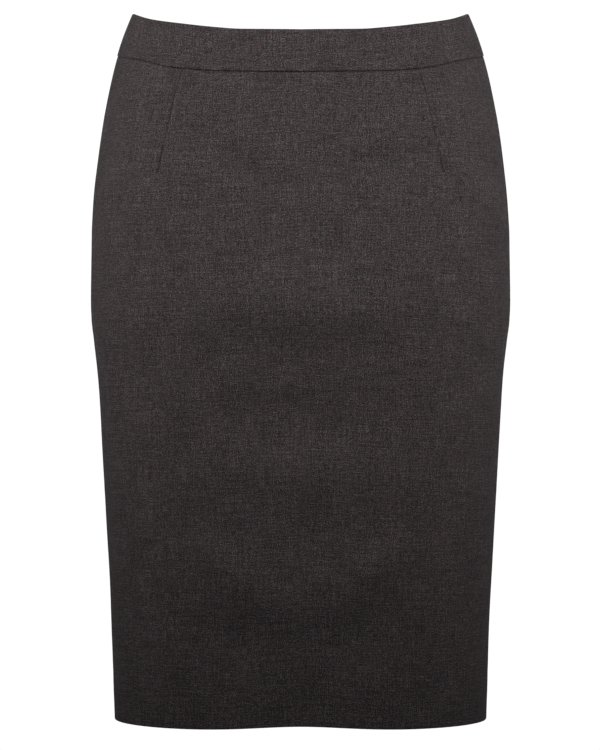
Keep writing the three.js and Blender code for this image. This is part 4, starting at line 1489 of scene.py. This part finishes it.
class SKIRT_OT_studio(bpy.types.Operator):
    """Make the grey floor, the soft lights, the white surroundings and the camera"""

    bl_idname = "skirt.studio"
    bl_label = "Studio"

    def execute(self, context):
        look = context.scene.skirt_look.studio
        self.make_floor(look)
        self.make_lights(look)
        self.make_surroundings(context, look)
        self.make_camera(context)
        context.scene.view_settings.view_transform = "Standard"
        return {"FINISHED"}

    def make_floor(self, look):
        bpy.ops.object.select_all(action="DESELECT")
        bpy.ops.mesh.primitive_cylinder_add(
            vertices=160, radius=1.0, depth=0.02, location=(0, 0, look.floor_height - 0.01)
        )
        floor = bpy.context.active_object
        floor.name = "floor"
        floor.data.transform(floor.matrix_world)
        floor.matrix_world = Matrix.Identity(4)
        soften(floor, 4.0, 3)
        floor.data.materials.append(floor_material("Floor paint", tuple(look.floor_colour)))

    def make_lights(self, look):
        for name, (place, target, size, size_y, spread, power) in STUDIO_LIGHTS.items():
            for side in (1, -1):
                mirrored = [(side * x, y, z) for x, y, z in (place, target)]
                area_light(name, *mirrored, size, size_y, spread, power * look.brightness)

    def make_surroundings(self, context, look):
        """A white room: the camera sees it bright, and it adds a soft grey light from all round."""
        world = bpy.data.worlds.new("White room")
        s = Shader(world)
        is_seen = s.node("LightPath")
        fill = s.node("Background", {}, {"Color": (1, 1, 1, 1), "Strength": look.fill})
        white = s.node("Background", {}, {"Color": (1, 1, 1, 1), "Strength": look.white})
        shown = s.node("MixShader", {}, {0: is_seen, 1: fill, 2: white})
        s.node("OutputWorld", {}, {"Surface": shown})
        context.scene.world = world

    def make_camera(self, context):
        data = bpy.data.cameras.new("Camera")
        data.lens, data.sensor_width = 144.95, 36.0
        data.shift_x = -0.00067
        data.clip_start, data.clip_end = 0.05, 60.0
        camera = bpy.data.objects.new("Camera", data)
        camera.location = (0.0, -2.6, -0.2923)
        camera.rotation_euler = (QUARTER, 0.0, 0.0)
        context.collection.objects.link(camera)
        context.scene.camera = camera


# Sizes and colours that a user would change


def colour(name, description, default):
    return bpy.props.FloatVectorProperty(
        name=name, description=description, default=default, size=3, min=0, max=1, subtype="COLOR"
    )


class ClothLook(bpy.types.PropertyGroup):
    brown_yarn: colour("Brown Yarn", "Colour of the warmer yarn in the suiting", (0.0585, 0.041, 0.0395))
    blue_yarn: colour("Blue Yarn", "Colour of the cooler yarn in the suiting", (0.0405, 0.0395, 0.0435))
    nep_colour: colour("Neps", "Colour of the few light neps in the yarn", (0.16, 0.15, 0.15))
    sheen: bpy.props.FloatProperty(
        name="Sheen",
        description="How much the wool's fibres catch light at a low angle",
        default=0.12,
        min=0,
        max=1,
        subtype="FACTOR",
    )


class TrimLook(bpy.types.PropertyGroup):
    thread_colour: colour("Thread", "Colour of the sewing thread", (0.017, 0.012, 0.013))
    overlock_colour: colour("Overlocking", "Colour of the thread round raw edges", (0.05, 0.045, 0.046))
    tape_colour: colour("Zip Tape", "Colour of the zip's woven tapes", (0.032, 0.029, 0.030))
    coil_colour: colour("Zip Coil", "Colour of the zip's nylon coil", (0.022, 0.020, 0.021))
    enamel_colour: colour("Enamel", "Colour of the slider and its pull", (0.030, 0.028, 0.029))
    stitch_length: bpy.props.FloatProperty(
        name="Stitch",
        description="Length of one stitch that shows",
        default=0.0016,
        min=0.001,
        max=0.005,
        unit="LENGTH",
    )
    stitch_gap: bpy.props.FloatProperty(
        name="Stitch Gap",
        description="Distance from one stitch to the next",
        default=0.00115,
        min=0.0003,
        max=0.003,
        unit="LENGTH",
    )


class StudioLook(bpy.types.PropertyGroup):
    floor_height: bpy.props.FloatProperty(
        name="Floor Height",
        description="Height of the floor, measured from the middle of the waist",
        default=-0.75,
        unit="LENGTH",
    )
    floor_colour: colour("Floor", "Colour of the floor", (0.42, 0.42, 0.42))
    brightness: bpy.props.FloatProperty(
        name="Brightness", description="Scales all the studio lights together", default=1.0, min=0
    )
    fill: bpy.props.FloatProperty(
        name="Fill", description="Strength of the soft light from all round", default=0.02, min=0
    )
    white: bpy.props.FloatProperty(
        name="White", description="Brightness of the surroundings as seen", default=1.05, min=0
    )


class SkirtLook(bpy.types.PropertyGroup):
    cloth: bpy.props.PointerProperty(type=ClothLook, name="Cloth", description="The suiting")
    trim: bpy.props.PointerProperty(type=TrimLook, name="Trim", description="Thread and zip")
    studio: bpy.props.PointerProperty(type=StudioLook, name="Studio", description="Floor and lights")


OPERATORS = (
    SKIRT_OT_front,
    SKIRT_OT_backs,
    SKIRT_OT_waistband,
    SKIRT_OT_stitching,
    SKIRT_OT_overlocking,
    SKIRT_OT_zip,
    SKIRT_OT_slider,
    SKIRT_OT_pull,
    SKIRT_OT_studio,
)


class SKIRT_PT_sidebar(bpy.types.Panel):
    """Lists the skirt's pieces in the order they are made"""

    bl_idname = "SKIRT_PT_sidebar"
    bl_label = "Pencil Skirt"
    bl_space_type = "VIEW_3D"
    bl_region_type = "UI"
    bl_category = "Skirt"

    def draw(self, context):
        look = context.scene.skirt_look
        for group in (look.cloth, look.trim, look.studio):
            box = self.layout.box()
            for name in type(group).__annotations__:
                box.prop(group, name)
        for operator in OPERATORS:
            self.layout.operator(operator.bl_idname)


CLASSES = (ClothLook, TrimLook, StudioLook, SkirtLook, *OPERATORS, SKIRT_PT_sidebar)


def register():
    for cls in CLASSES:
        bpy.utils.register_class(cls)
    bpy.types.Scene.skirt_look = bpy.props.PointerProperty(
        type=SkirtLook, name="Skirt", description="The skirt's colours, trim and studio"
    )


def unregister():
    del bpy.types.Scene.skirt_look
    for cls in reversed(CLASSES):
        bpy.utils.unregister_class(cls)


def main():
    register()
    bpy.ops.skirt.front()
    bpy.ops.skirt.backs()
    bpy.ops.skirt.waistband()
    bpy.ops.skirt.stitching()
    bpy.ops.skirt.overlocking()
    bpy.ops.skirt.zip()
    bpy.ops.skirt.slider()
    bpy.ops.skirt.pull()
    bpy.ops.skirt.studio()


if __name__ == "__main__":
    main()
